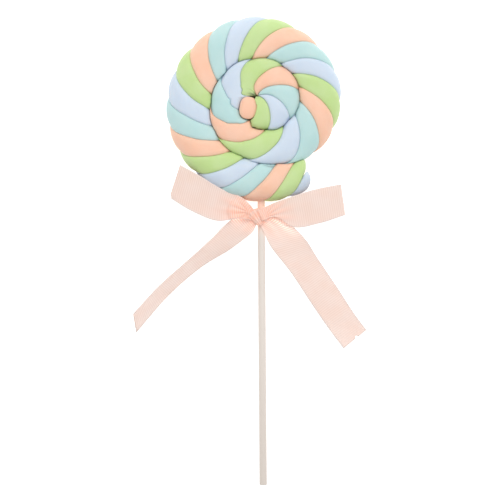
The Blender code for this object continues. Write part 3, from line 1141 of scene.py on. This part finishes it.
@dataclass
class MarshmallowHead:
    """Four strands twisted into a rope that is coiled into a swirl.

    The peach strand ends in an egg that closes the swirl beside its middle.

    Attributes:
        coil: Where the rope runs.
        shape: How a strand fills its share of the rope.
        strands: What sets each strand apart.
        tail_from: The place where the strands start.
        tail_roundness: How much rounder than straight the tail's cut ends are, per metre.
        tail_shaping: How many eighths of a turn the cut is spread over.
        core_shift: How far the swirl's innermost points are shifted to meet the egg.
        core_size: The radius within which they are.
        spacing: Distance between a strand's rings.
        unevenness: How far the shape wanders.
        unevenness_size: How long these wanders are.
        unevenness_seed: Number that draws them.
        rest_height: Height below which they leave the resting side alone.
    """

    coil: Coil = Coil()
    shape: StrandShape = StrandShape()
    strands: dict[Strand, StrandPlan] = field(
        default_factory=lambda: {
            Strand.LAVENDER: StrandPlan(
                MarshmallowFinish("lavender_marshmallow", (0.60, 0.69, 0.80), (0.38, 0.47, 0.68)),
                tail=(0.0264, 0.0507), tip=18.60,
            ),
            Strand.GREEN: StrandPlan(
                MarshmallowFinish("green_marshmallow", (0.53, 0.70, 0.29), (0.30, 0.46, 0.13)),
                tail=(0.0241, 0.0435), tip=17.42, tip_size=0.96, wrapped=WrappedTip(),
            ),
            Strand.PEACH: StrandPlan(
                MarshmallowFinish("peach_marshmallow", (0.92, 0.56, 0.40), (0.72, 0.31, 0.17)),
                tail=(0.0225, 0.0450), tip=18.72,
            ),
            Strand.AQUA: StrandPlan(
                MarshmallowFinish("aqua_marshmallow", (0.49, 0.70, 0.69), (0.25, 0.48, 0.50)),
                tail=(0.0235, 0.0480), tip=18.60,
            ),
        }
    )
    tail_from: float = 0.28
    tail_roundness: float = 75.0
    tail_shaping: float = 0.9
    core_shift: tuple[float, float] = (-0.0003, -0.0007)
    core_size: float = 0.0042
    spacing: float = 0.0004
    unevenness: float = 0.00035
    unevenness_size: float = 0.016
    unevenness_seed: int = 5
    rest_height: float = 0.004

    def build(self) -> None:
        """Build and dress the four strands."""
        noise.seed_set(self.unevenness_seed)
        for strand, plan in self.strands.items():
            colour = strand.name.lower()
            builder = self.strand_surface(strand).builder()
            if strand is Strand.PEACH:
                self.add_egg(builder)
            self.make_uneven(builder)
            piece = finished_piece(f"marshmallow_{colour}", builder, plan.finish.material())
            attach(piece, BODY)
            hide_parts(f"strand_{colour}")

    def strand_surface(self, strand: Strand) -> SurfaceGrid:
        """Draw one strand as rings of its outline, from its tail to its tip.

        Args:
            strand: Which strand.

        Returns:
            The closed surface, with painted shade at each point in its creases and where it touches the next
            turn.
        """
        start, end = self.tail_from, self.strands[strand].tip
        places = self.places(start, end)
        size = self.size_at(places, strand)
        cap = np.array(self.shape.cap_shares)
        size = np.concatenate([size[0] * cap, size, size[-1] * cap[::-1]])[:, None]
        places = np.concatenate([np.full(len(cap), start), places, np.full(len(cap), end)])[:, None]
        across, share, pressed = self.shape.outline()
        grid = np.repeat(places, across.shape[1], axis=1)
        for _ in range(2):
            radius, _, _ = self.section(strand, grid, across, share, size)
            grid = places + self.slant(strand, places, radius)
        radius, height, touching = self.section(strand, grid, across, share, size)
        angle = bearing(grid)
        near = hump(radius, 0.0, self.core_size)
        right, up = (shift * near for shift in self.core_shift)
        points = np.stack([radius * np.cos(angle) + right, radius * np.sin(angle) + up, height], axis=-1)
        # The painted shade of the creases and of touching turns goes to the mesh.
        return SurfaceGrid(points, {"pressed": np.clip(np.maximum(pressed, touching), 0.0, 1.0)})

    def places(self, start: float, end: float) -> np.ndarray:
        """Step along the rope, closely where a strand's ends round off.

        Args:
            start: First place.
            end: Last place.

        Returns:
            The places in order.
        """
        steps = np.linspace(start, end, 4000)
        eighths = EIGHTH_TURN * np.maximum(self.coil.middle(steps), self.spacing * 8)
        run = np.concatenate([[0.0], np.cumsum((eighths[1:] + eighths[:-1]) / 2 * np.diff(steps))])
        rounding = self.shape.end_rounding
        eased = rounding * (1 - np.cos(np.linspace(0.0, math.pi / 2, self.shape.end_rings)))
        body = np.linspace(rounding, run[-1] - rounding, round(run[-1] / self.spacing))[1:-1]
        return np.interp(np.concatenate([eased, body, run[-1] - eased[::-1]]), run, steps)

    def size_at(self, places: np.ndarray, strand: Strand) -> np.ndarray:
        """Shrink a strand where its blunt ends round off.

        Args:
            places: The place of each ring.
            strand: Which strand.

        Returns:
            The share of its full section that each ring has.
        """
        plan = self.strands[strand]
        tail_eighth, tip_eighth = self.coil.middle(np.array([self.tail_from, plan.tip])) * EIGHTH_TURN
        size = np.ones_like(places)
        for run, smallest in (
            ((places - self.tail_from) * tail_eighth, plan.tail_size),
            ((plan.tip - places) * tip_eighth, plan.tip_size),
        ):
            missing = np.clip(1 - run / self.shape.end_rounding, 0.0, 1.0)
            size = size * (1 - (1 - smallest) * (1 - np.sqrt(1 - missing**2)))
        return size

    def section(
        self, strand: Strand, places: np.ndarray, across: np.ndarray, share: np.ndarray, size: np.ndarray
    ) -> tuple[np.ndarray, np.ndarray, np.ndarray]:
        """Place a strand's outline in the rope's section.

        Args:
            strand: Which strand.
            places: The place of each corner.
            across: How far across its share each corner lies.
            share: Each corner's share of the way out.
            size: The share of its full section that the strand has, ring by ring.

        Returns:
            Radius from the swirl's middle, height above the floor, and painted shade where each point touches
            the next turn and in the pits.
        """
        coil, shape = self.coil, self.shape
        outer, inner = coil.creases(places, strand)
        turn = (outer + inner) / 2 + across * ((inner - outer) / 2 + shape.gap)
        reach = coil.reach(places, turn)
        cosine = np.cos(turn)
        walled = np.where(reach > 0, coil.meeting.at(places), 1.0)
        walled_face = walled * (share > shape.skin)
        wall = shape.wall * walled
        dome = np.maximum(1 - np.abs(reach) ** shape.fullness, 0.0) ** (1 / shape.fullness)
        up = wall * np.tanh(cosine / shape.wall_turn) + (1 - wall) * np.sign(cosine) * dome
        middle = coil.middle(places)
        edge = np.where(reach > 0, coil.edge(places) - middle, middle - coil.inner_edge(places))
        out = middle + (edge - shape.clearance) * reach * (share + (1 - share) * walled_face)
        pit = ramp(np.abs(reach), *shape.pit_from) * np.abs(across) ** shape.pit_power
        pit = pit * walled_face * (cosine > 0)
        base = shape.half_height - shape.rest_flat + shape.centre_rise.at(places)
        height = base + shape.half_height * up * share - shape.pit * pit
        out_mean, height_mean = (value[:, :-1].mean(axis=1, keepdims=True) for value in (out, height))
        out, height = out_mean + (out - out_mean) * size, height_mean + (height - height_mean) * size
        height = -soft_limit(-height, 0.0, shape.rest_flat)
        # Painted shade where the strand touches the next turn, and in the pits.
        most, start, whole = shape.turn_painted_shade
        against = np.clip((np.abs(reach) * np.sign(wall) - start) / (whole - start), 0.0, 1.0)
        return out, height, against * most + pit

    def slant(self, strand: Strand, places: np.ndarray, radius: np.ndarray) -> np.ndarray:
        """Shift the ends along the coil: the tail is cut straight, and green's tip fits round the egg.

        Args:
            strand: Which strand.
            places: The place of each ring.
            radius: The radius of each corner.

        Returns:
            How far each corner is shifted, in eighths of a turn.
        """
        plan = self.strands[strand]
        furthest, at_radius = plan.tail
        right = furthest - self.tail_roundness * (radius - at_radius) ** 2
        cosine = np.clip(right / np.maximum(radius, self.spacing), -1.0, 0.95)
        cut = np.arccos(cosine) / EIGHTH_TURN - 1
        shift = (cut - self.tail_from) * (1 - ramp(places, self.tail_from, self.tail_shaping))
        return shift + (plan.wrapped.shift(places, radius, plan.tip) if plan.wrapped else 0.0)

    def add_egg(self, builder: bmesh.types.BMesh) -> None:
        """Add the egg at the peach strand's end.

        Args:
            builder: The peach strand's mesh.
        """
        shape = self.shape
        middle_height = shape.half_height - shape.rest_flat + shape.centre_rise.amount
        made = bmesh.ops.create_uvsphere(builder, u_segments=72, v_segments=48, radius=1.0)
        for vertex in made["verts"]:
            vertex.co = self.coil.end.shaped(vertex.co, middle_height, shape.half_height) + ORIGIN

    def make_uneven(self, builder: bmesh.types.BMesh) -> None:
        """Shift the shape by a slow wander, so that touching strands still touch.

        Args:
            builder: A strand's mesh.
        """
        for vertex in builder.verts:
            wander = noise.noise_vector(vertex.co / self.unevenness_size) * self.unevenness
            wander.z *= float(ramp(vertex.co.z, 0.0, self.rest_height))
            vertex.co += wander


# ---------------------------------------------------------------------------
# The stick
# ---------------------------------------------------------------------------


@dataclass
class PaperStick:
    """A rolled paper stick that runs from inside the head to its free end."""

    radius: float = 0.0019
    inner_end: Point = (0.00110, -0.0200, 0.0100)
    free_end: Point = (0.00235, -0.1987, 0.0100)
    edge: float = 0.0004
    sides: int = 56
    rings: int = 90
    finish: PaperFinish = PaperFinish("white_paper")

    def build(self) -> None:
        """Build and dress the stick."""
        piece = finished_piece("paper_stick", self.surface().builder(), self.finish.material())
        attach(piece, BODY)
        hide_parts("stick")

    def profile(self) -> np.ndarray:
        """Draw half of the stick's outline, as distance along it and radius.

        Returns:
            Pairs from the middle of one end round to the middle of the other.
        """
        length = math.dist(self.inner_end, self.free_end)
        turn = np.linspace(0.0, math.pi / 2, 6)
        edge_along = self.edge * (1 - np.sin(turn))
        edge_radius = self.radius - self.edge * (1 - np.cos(turn))
        dimple = np.array([[0.00015, 0.0], [0.00015, self.radius * 0.35], [0.0, self.radius * 0.6]])
        first = np.concatenate([dimple, np.stack([edge_along, edge_radius], axis=-1)[::-1]])
        steps = np.linspace(self.edge, length - self.edge, self.rings)
        body = np.stack([steps, np.full(self.rings, self.radius)], axis=-1)
        last = first[::-1] * (-1, 1) + (length, 0)
        return np.concatenate([first[:-1], body, last[1:]])

    def surface(self) -> SurfaceGrid:
        """Turn the outline round the stick's axis.

        Returns:
            The closed surface, with distance along and share of a turn as flat coordinates.
        """
        profile = self.profile()
        axis = (Vector(self.free_end) - Vector(self.inner_end)).normalized()
        across = Vector((0.0, 0.0, 1.0)).cross(axis)
        up = axis.cross(across)
        angles = np.linspace(0.0, 2 * math.pi, self.sides + 1)
        along, radius = profile[:, 0, None, None], profile[:, 1, None, None]
        round_way = np.cos(angles)[:, None] * np.array(across) + np.sin(angles)[:, None] * np.array(up)
        points = np.array(self.inner_end) + along * np.array(axis) + radius * round_way
        flat = np.stack(np.broadcast_arrays(profile[:, 0, None], angles / (2 * math.pi)), axis=-1)
        return SurfaceGrid(points, flat=flat)


# ---------------------------------------------------------------------------
# The ribbon bow
# ---------------------------------------------------------------------------

EdgePair = tuple[tuple[float, ...], tuple[float, ...]]


@dataclass(frozen=True)
class Ribbon:
    """The ribbon's stuff: its width, thickness and how finely it is drawn."""

    width: float = 0.015
    thickness: float = 0.00022
    columns: int = 41
    finish: RibbonFinish = RibbonFinish("sheer_peach_ribbon")

    def shares(self) -> np.ndarray:
        """Give shares of the way across, from the upper edge to the lower."""
        return np.linspace(0.0, 1.0, self.columns)


@dataclass
class RibbonPiece:
    """One stretch of the bow's ribbon.

    Attributes:
        name: The piece's name.
        ribbon: The stuff it is cut from.
        held: How it is held, in the frame's words; not used.
        rests_on: What it lies on; not used.
        rows: How many rows of points it has along its length.
    """

    name: str
    ribbon: Ribbon
    held: str
    rests_on: tuple[str, ...]
    rows: int = 97

    def points(self) -> tuple[np.ndarray, np.ndarray]:
        """Draw the stretch.

        Returns:
            Points as rows along and columns across, and how gathered each is.
        """
        raise NotImplementedError

    def painted_glow(self) -> np.ndarray:
        """Tell how much painted glow each point gets, standing in for the floor's light shining through."""
        return np.zeros((self.rows, self.ribbon.columns))

    def between(self, edges: tuple[EdgePair, ...], position: np.ndarray) -> np.ndarray:
        """Spread the ribbon between two edges.

        Args:
            edges: Upper and lower edge points, evenly along the ribbon.
            position: Where along them each row lies, in steps of the points.

        Returns:
            Points as rows along and columns across.
        """
        upper, lower = (smooth_curve([pair[side] for pair in edges], position) for side in (0, 1))
        return upper[:, None] + (lower - upper)[:, None] * self.ribbon.shares()[:, None]

    def build(self, material: bpy.types.Material) -> None:
        """Args:
            material: The ribbon's finish.
        """
        points, gathered = self.points()
        lengths = np.mean([path_lengths(line) for line in np.moveaxis(points, 1, 0)], axis=0)
        widths = self.ribbon.shares() * self.ribbon.width
        flat = np.stack(np.broadcast_arrays(lengths[:, None], widths), axis=-1)
        # The painted glow goes to the mesh with how gathered the ribbon is.
        builder = SurfaceGrid(points, {"gathered": gathered, "painted_glow": self.painted_glow()}, flat).builder()
        piece = finished_piece(self.name, builder, material)
        wall = piece.modifiers.new("ribbon_thickness", "SOLIDIFY")
        wall.thickness = self.ribbon.thickness
        wall.offset = 0.0
        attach(piece, BODY)
        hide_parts("ribbon_bow")


@dataclass(frozen=True)
class Puff:
    """A soft puff of a loop's front beside the knot, over a fold that is tucked under.

    Attributes:
        centre: Its middle, seen from above.
        radius: Its size.
        height: How far it stands up.
        bow: How far the ribbon's ribs bow outwards over it.
        rims: Place, width and strength of its rounded rims, as shares of its radius.
        tuck: Share of the way across the ribbon from which it is tucked under, and over how much.
        tuck_depth: How deep that fold is.
        gathers: How gathered the puff, its rims and the fold are.
    """

    centre: tuple[float, float]
    radius: float
    height: float
    bow: float
    rims: tuple[tuple[float, float, float], ...] = ((0.97, 0.07, 1.0), (0.62, 0.06, 0.6))
    tuck: tuple[float, float] = (0.62, 0.12)
    tuck_depth: float = 0.0005
    gathers: tuple[float, float, float] = (0.2, 0.18, 0.7)

    def relief(
        self, plan: np.ndarray, across: np.ndarray, near_knot: np.ndarray
    ) -> tuple[np.ndarray, np.ndarray]:
        """Work out the puff and its fold.

        Args:
            plan: Points of the loop, seen from above.
            across: How far across the ribbon each column lies.
            near_knot: How close to the knot each row lies.

        Returns:
            How much higher each point is, and how much more gathered.
        """
        apart = np.linalg.norm(plan - self.centre, axis=-1) / self.radius
        puffed = np.sqrt(np.maximum(1 - apart**4, 0.0))
        rim = sum(strength * hump(apart, middle, width) for middle, width, strength in self.rims)
        tucked = ramp(across, *self.tuck) * near_knot**3
        in_puff, in_rim, in_tuck = self.gathers
        higher = self.height * puffed - self.tuck_depth * tucked
        return higher, in_puff * puffed + in_rim * rim + in_tuck * tucked


@dataclass
class BowLoop(RibbonPiece):
    """A loop of the bow, from the knot out along its back, round the fold, and back along its front.

    Attributes:
        edges: Upper and lower edge points in plan, evenly from the knot out to the fold.
        front_start: The first of these as they run on the front.
        pinch: Where the front's creases meet.
        corner: How far the fold's lower corner is rounded.
        corner_from: Share of the way across from which it is, and over how much.
        front_rise: How much higher the front starts at the knot.
        root_height: Height of the loop's middle at the knot.
        fold_height: Height at the fold.
        half_opening: Half of the loop's widest opening.
        root_opening: Half of its opening at the knot.
        turn_over: Share of the front over which the back turns into it.
        pleat: Depth of the pleats that run out from the knot.
        pleats: How many there are.
        fan_radius: Distance from the pinch at which its creases are deepest.
        fan_reach: Distance over which the ribbon is gathered round the pinch.
        puff: The front's puff beside the knot, or None.
        glow: How strong the painted glow is on the back near the knot, standing in for the floor's light.
    """

    edges: tuple[EdgePair, ...] = ()
    front_start: tuple[EdgePair, ...] = ()
    pinch: tuple[float, float] = (0.0, 0.0)
    corner: float = 0.0
    corner_from: tuple[float, float] = (0.82, 0.18)
    front_rise: float = 0.0
    root_height: float = 0.0140
    fold_height: float = 0.0135
    half_opening: float = 0.0030
    root_opening: float = 0.0008
    turn_over: float = 0.25
    pleat: float = 0.0005
    pleats: float = 2.5
    fan_radius: float = 0.0035
    fan_reach: float = 0.0120
    puff: Puff | None = None
    glow: float = 0.9
    rows: int = 240

    def points(self) -> tuple[np.ndarray, np.ndarray]:
        """Draw the loop.

        Returns:
            Points as rows along and columns across, and how gathered each is.
        """
        side = np.linspace(-1.0, 1.0, self.rows)[:, None]
        reach = 1 - side**2
        near_knot = 1 - reach
        across = self.ribbon.shares()
        front = ramp(side, 0.0, self.turn_over)
        plan, outwards = self.plan(reach, near_knot, front)
        creases, distance = self.pinched(plan, outwards)
        fan = creases * (distance / self.fan_radius) * np.exp(1 - distance / self.fan_radius) * front
        folds = np.cos(2 * math.pi * self.pleats * across + 0.6)
        folded = folds * near_knot**4 * (1 - near_knot**30) * (1 - front)
        opening = self.half_opening * np.sin(math.pi * side) + self.root_opening * side
        height = self.root_height + (self.fold_height - self.root_height) * reach + opening
        height = height + self.pleat * (folded + fan) + self.front_rise * front * near_knot**12
        gathered = hump(distance, 0.0, self.fan_reach) * (0.8 + 0.3 * creases) * front
        gathered = gathered + near_knot**5 * (0.6 + 0.4 * folds) * (1 - front)
        if self.puff:
            higher, deeper = self.puff.relief(plan, across, near_knot)
            height, gathered = height + higher * front, gathered + deeper * front
        return np.concatenate([plan, height[:, :, None]], axis=-1), np.clip(gathered, 0.0, 1.0)

    def painted_glow(self) -> np.ndarray:
        """Paint a glow into the back's lower edge near the knot, where the front shades it.

        Returns:
            How much painted glow each point gets.
        """
        side = np.linspace(-1.0, 1.0, self.rows)[:, None]
        back = (1 - ramp(side, 0.0, self.turn_over)) * ramp(side**2, 0.3, 0.3)
        # Painted glow on the back's lower edge near the knot, where the front shades it.
        return self.glow * back * ramp(self.ribbon.shares(), 0.55, 0.3)

    def plan(
        self, reach: np.ndarray, near_knot: np.ndarray, front: np.ndarray
    ) -> tuple[np.ndarray, np.ndarray]:
        """Draw the loop as seen from above.

        Args:
            reach: Share of the way from the knot to the fold of each row.
            near_knot: The rest of that way.
            front: How far each row is on the front, from 0 to 1.

        Returns:
            Points as rows along and columns across, and the direction of the loop.
        """
        position = reach[:, 0] * (len(self.edges) - 1)
        front_edges = self.front_start + self.edges[len(self.front_start):]
        back_plan, front_plan = (self.between(edges, position) for edges in (self.edges, front_edges))
        plan = back_plan + (front_plan - back_plan) * front[:, :, None]
        outwards = np.array(self.edges[-1][0]) - np.array(self.edges[0][0])
        outwards = outwards / np.linalg.norm(outwards)
        across = self.ribbon.shares()
        bowed = -self.corner * ramp(across, *self.corner_from) ** 2 * reach**14
        if self.puff:
            arch = 4 * across * (1 - across)
            bowed = bowed + self.puff.bow * near_knot**3 * (1 - near_knot**8) * front * arch
        return plan + bowed[:, :, None] * outwards, outwards

    def pinched(self, plan: np.ndarray, outwards: np.ndarray) -> tuple[np.ndarray, np.ndarray]:
        """Let creases fan out from the pinch.

        Args:
            plan: Points seen from above.
            outwards: Direction of the loop.

        Returns:
            The waves of the creases from -1 to 1, and each point's distance from the pinch.
        """
        offset = plan - self.pinch
        ahead = offset @ outwards
        aside = offset[..., 0] * outwards[1] - offset[..., 1] * outwards[0]
        heading = np.arctan2(aside, ahead)
        creases = np.cos(2 * math.pi * self.pleats * heading + 1.3 * np.sin(2.3 * heading + 0.5))
        return creases, np.hypot(ahead, aside)


@dataclass
class BowTail(RibbonPiece):
    """A tail of the bow, from the knot down to its cut end.

    Attributes:
        edges: Upper and lower edge points, evenly from the knot to the cut.
        pleat: Depth of the pleats near the knot.
        pleats: How many there are.
        pleated: Share of the tail over which they fade.
        ripple: Height of the slow waves along it.
        fray: How ragged the cut is.
        fray_rows: How much of the fray the last rows of points take on.
        notch: Share of the way across where the cut has a nick, or None.
        notch_size: The nick's depth, and half its width as a share of the way across.
    """

    edges: tuple[EdgePair, ...] = ()
    pleat: float = 0.0006
    pleats: float = 2.5
    pleated: float = 0.36
    ripple: float = 0.0003
    fray: float = 0.00012
    fray_rows: tuple[float, ...] = (0.15, 0.4, 0.7, 1.0)
    notch: float | None = None
    notch_size: tuple[float, float] = (0.0011, 0.05)
    rows: int = 130

    def points(self) -> tuple[np.ndarray, np.ndarray]:
        """Draw the tail.

        Returns:
            Points as rows along and columns across, and how gathered each is.
        """
        share = np.linspace(0.0, 1.0, self.rows)[:, None]
        across = self.ribbon.shares()
        points = self.between(self.edges, share[:, 0] * (len(self.edges) - 1))
        near_knot = 1 - ramp(share, 0.0, self.pleated)
        waves = np.cos(2 * math.pi * self.pleats * across + 1.0)
        points[:, :, 2] += self.pleat * waves * near_knot * (1 - near_knot**20)
        slow = np.sin(2 * math.pi * (1.6 * share + 0.35 * across))
        points[:, :, 2] += self.ripple * slow * ramp(share, 0.1, 0.3) * (1 - share**6)
        points[-len(self.fray_rows):] += self.ragged_cut(points) * np.array(self.fray_rows)[:, None, None]
        return points, np.clip(near_knot**1.2 * (0.75 + 0.35 * waves), 0.0, 1.0)

    def painted_glow(self) -> np.ndarray:
        """Paint a glow near the knot, strongest where the loops shade the tail's upper edge.

        Returns:
            How much painted glow each point gets.
        """
        share = np.linspace(0.0, 1.0, self.rows)[:, None]
        shaded = (1 - ramp(share, 0.20, 0.12)) * (1 - ramp(self.ribbon.shares(), 0.0, 0.5))
        # Painted glow near the knot, strongest on the upper edge that the loops shade.
        return 0.8 * (1 - ramp(share, 0.0, 0.42)) + 1.9 * shaded

    def ragged_cut(self, points: np.ndarray) -> np.ndarray:
        """Fray the cut, and nick it.

        Args:
            points: Points as rows along and columns across.

        Returns:
            A small shift along the ribbon for each point of the last row.
        """
        along = points[-1] - points[-2]
        along /= np.linalg.norm(along, axis=1, keepdims=True)
        across = self.ribbon.shares()
        frayed = [noise.noise(Vector((share * 23.0, len(self.name), 0.5))) for share in across]
        shift = np.array(frayed) * self.fray
        if self.notch is not None:
            depth, width = self.notch_size
            shift -= depth * hump(across, self.notch, width, 4)
        return along * np.minimum(shift, 0.0)[:, None]


@dataclass
class BowKnot(RibbonPiece):
    """A ring of gathered ribbon with its edges rolled under, round the bow's middle or the stick.

    Attributes:
        centre: Middle of the ring.
        axis: The ring's axis, along the ribbon's width.
        radii: The ring's half sizes, across the axis and up.
        half_width: Half of the ring's width along its axis.
        roll: How deep its edges roll under.
        roll_turn: How far they roll, in radians from the middle of the face.
        dents: Depth of the folds round it.
        creases: Depth of the folds along its axis.
        taper: How much slimmer it is at the axis's end.
        nip: How much narrower it is at its sides than at its front and back.
    """

    centre: Point = (0.0, 0.0, 0.0)
    axis: Point = (1.0, 0.0, 0.0)
    radii: tuple[float, float] = (0.0035, 0.0028)
    half_width: float = 0.0036
    roll: float = 0.0011
    roll_turn: float = 2.2
    dents: float = 0.0002
    creases: float = 0.0
    taper: float = 0.0
    nip: float = 0.12

    def points(self) -> tuple[np.ndarray, np.ndarray]:
        """Draw the ring.

        Returns:
            Points as rows round it and columns across, and how gathered each is.
        """
        round_way = np.linspace(0.0, 2 * math.pi, self.rows)[:, None]
        turn = np.linspace(-self.roll_turn, self.roll_turn, self.ribbon.columns)[None, :]
        waves = np.cos(5.0 * turn + 1.2 * np.sin(round_way))
        folds = waves * self.dents + np.cos(11.0 * round_way + 2.0 * turn) * self.creases
        depth = self.roll * (1 - np.cos(turn)) + folds
        along = self.half_width * np.sin(turn) * (1 - self.nip * np.cos(round_way) ** 2)
        slimmer = 1 - self.taper * (np.sin(turn) + 1) / 2
        out = (self.radii[0] - depth) * np.cos(round_way) * slimmer
        up = (self.radii[1] - depth) * np.sin(round_way) * slimmer**0.5
        axis, upwards = Vector(self.axis).normalized(), Vector((0.0, 0.0, 1.0))
        ways = ((along, axis), (out, upwards.cross(axis)), (up, upwards))
        points = np.array(self.centre) + sum(length[:, :, None] * np.array(way) for length, way in ways)
        return points, 0.75 + 0.25 * waves


@dataclass
class RibbonBow:
    """The whole bow: two loops, two tails, the knot, and the turn of ribbon round the stick."""

    ribbon: Ribbon = Ribbon()

    def pieces(self) -> list[RibbonPiece]:
        """List the bow's stretches of ribbon.

        Returns:
            The stretches, from the back to the front.
        """
        ribbon = self.ribbon
        wrap = BowKnot(
            "ribbon_wrap", ribbon, "gathered", ("paper_stick",),
            centre=(0.00139, -0.0620, 0.0100), axis=(0.007, -1.0, 0.0),
            radii=(0.0031, 0.0031), half_width=0.0034, roll=0.0008, dents=0.00045,
        )
        knot = BowKnot(
            "ribbon_knot", ribbon, "gathered", ("ribbon_wrap",),
            centre=(-0.0009, -0.0622, 0.0140), axis=(0.50, -0.87, 0.0),
            radii=(0.0038, 0.0027), half_width=0.0042, roll=0.0009, dents=0.0001, creases=0.00018, taper=0.45,
        )
        left_loop = BowLoop(
            "ribbon_loop_left", ribbon, "folded", ("ribbon_knot",),
            edges=(
                ((-0.0015, -0.0592), (-0.0020, -0.0642)),
                ((-0.0084, -0.0521), (-0.0102, -0.0628)),
                ((-0.0184, -0.0479), (-0.0215, -0.0639)),
                ((-0.0298, -0.0411), (-0.0342, -0.0589)),
                ((-0.0400, -0.0355), (-0.0454, -0.0522)),
            ),
            pinch=(-0.0047, -0.0597), corner=0.0011, half_opening=0.0017, pleat=0.00026, pleats=1.9,
            puff=Puff(centre=(-0.0096, -0.0590), radius=0.0064, height=0.0011, bow=0.0046),
        )
        right_loop = BowLoop(
            "ribbon_loop_right", ribbon, "folded", ("ribbon_knot",),
            edges=(
                ((0.0000, -0.0590), (0.0000, -0.0640)),
                ((0.0068, -0.0553), (0.0075, -0.0650)),
                ((0.0155, -0.0521), (0.0185, -0.0673)),
                ((0.0285, -0.0480), (0.0312, -0.0652)),
                ((0.0419, -0.0453), (0.0441, -0.0611)),
            ),
            front_start=(
                ((-0.0006, -0.0588), (0.0018, -0.0640)),
                ((0.0076, -0.0550), (0.0092, -0.0620)),
            ),
            pinch=(0.0028, -0.0622), front_rise=0.0018, fold_height=0.0130, half_opening=0.0014,
            pleat=0.00022,
        )
        left_tail = BowTail(
            "ribbon_tail_left", ribbon, "hung", ("ribbon_knot",),
            edges=(
                ((-0.0030, -0.0600, 0.0135), (-0.0005, -0.0640, 0.0130)),
                ((-0.0105, -0.0610, 0.0120), (-0.0030, -0.0695, 0.0120)),
                ((-0.0170, -0.0660, 0.0112), (-0.0080, -0.0737, 0.0084)),
                ((-0.0240, -0.0730, 0.0119), (-0.0160, -0.0795, 0.0048)),
                ((-0.0344, -0.0826, 0.0135), (-0.0295, -0.0878, 0.0014)),
                ((-0.0508, -0.0972, 0.0134), (-0.0461, -0.1022, 0.0008)),
                ((-0.0640, -0.1115, 0.0125), (-0.0626, -0.1211, 0.0008)),
            ),
        )
        right_tail = BowTail(
            "ribbon_tail_right", ribbon, "hung", ("ribbon_knot",),
            edges=(
                ((0.0015, -0.0600, 0.0130), (0.0000, -0.0648, 0.0130)),
                ((0.0125, -0.0630, 0.0122), (0.0024, -0.0690, 0.0128)),
                ((0.0235, -0.0730, 0.0112), (0.0065, -0.0775, 0.0102)),
                ((0.0300, -0.0828, 0.0080), (0.0166, -0.0905, 0.0068)),
                ((0.0406, -0.0985, 0.0038), (0.0281, -0.1078, 0.0026)),
                ((0.0486, -0.1108, 0.0020), (0.0362, -0.1195, 0.0012)),
                ((0.0552, -0.1197, 0.0012), (0.0435, -0.1292, 0.0010)),
            ),
            notch=0.42,
        )
        return [wrap, left_tail, right_tail, left_loop, right_loop, knot]

    def build(self) -> None:
        """Build every stretch of the bow in one finish."""
        material = self.ribbon.finish.material()
        for piece in self.pieces():
            piece.build(material)


# ---------------------------------------------------------------------------
# The studio
# ---------------------------------------------------------------------------


@dataclass
class Studio:
    """A pale floor, an even white surround, one large soft light and the camera above.

    Attributes:
        view_centre: What the camera looks at, from the swirl's middle.
        view_width: How much of the floor the picture takes in.
        camera_height: The camera's height over the lollipop.
        object_height: The height on the lollipop that the view is measured at.
        surround: How bright the surround is.
        key_energy: The soft light's power.
        key_place: Where it hangs.
        key_size: Its width.
        floor_size: The floor's width.
        finish: The floor's finish.
    """
    view_centre: tuple[float, float] = (-0.00439, -0.07885)
    view_width: float = 0.255
    camera_height: float = 2.5
    object_height: float = 0.010
    surround: float = 0.59
    key_energy: float = 21.3
    key_place: Point = (0.17, 0.85, 1.75)
    key_size: float = 1.1
    floor_size: float = 6.0
    finish: FloorFinish = FloorFinish("studio_paper")

    def build(self) -> None:
        """Build the studio."""
        self.add_floor()
        self.add_surround()
        self.add_key_light()
        self.add_camera()

    def add_floor(self) -> None:
        """Lay the floor just under the lollipop."""
        builder = bmesh.new()
        bmesh.ops.create_grid(builder, x_segments=1, y_segments=1, size=self.floor_size / 2)
        finished_piece("studio_floor", builder, self.finish.material())

    def add_surround(self) -> None:
        """Light everything evenly from all sides."""
        world = bpy.data.worlds.new("studio_surround")
        world.use_nodes = True
        background = world.node_tree.nodes["Background"]
        background.inputs["Color"].default_value = (1.0, 1.0, 1.0, 1.0)
        background.inputs["Strength"].default_value = self.surround
        bpy.context.scene.world = world
        bpy.context.scene.view_settings.view_transform = "Standard"

    def add_key_light(self) -> None:
        """Hang a large soft light beyond the head's upper left."""
        light = bpy.data.lights.new("key_light", "AREA")
        light.energy = self.key_energy
        light.shape = "SQUARE"
        light.size = self.key_size
        lamp = bpy.data.objects.new("key_light", light)
        bpy.context.scene.collection.objects.link(lamp)
        place = Vector(self.key_place)
        lamp.location = place
        lamp.rotation_euler = (-place).to_track_quat("-Z", "Y").to_euler()

    def add_camera(self) -> None:
        """Look straight down on the lollipop, from far enough to flatten the view."""
        camera = bpy.data.cameras.new("camera")
        camera.sensor_width = 36.0
        camera.lens = camera.sensor_width * self.camera_height / self.view_width
        camera.clip_start, camera.clip_end = 0.1, 20.0
        holder = bpy.data.objects.new("camera", camera)
        bpy.context.scene.collection.objects.link(holder)
        centre = Vector((*self.view_centre, 0.0)) + ORIGIN
        holder.location = centre + Vector((0.0, 0.0, self.camera_height + self.object_height))
        bpy.context.scene.camera = holder


def main() -> None:
    """Build the lollipop's pieces and the studio, in order."""
    logging.basicConfig(level=logging.INFO, format="%(name)s: %(message)s")
    MarshmallowHead().build()
    PaperStick().build()
    RibbonBow().build()
    Studio().build()
    bpy.context.view_layer.update()


if __name__ == "__main__":
    main()
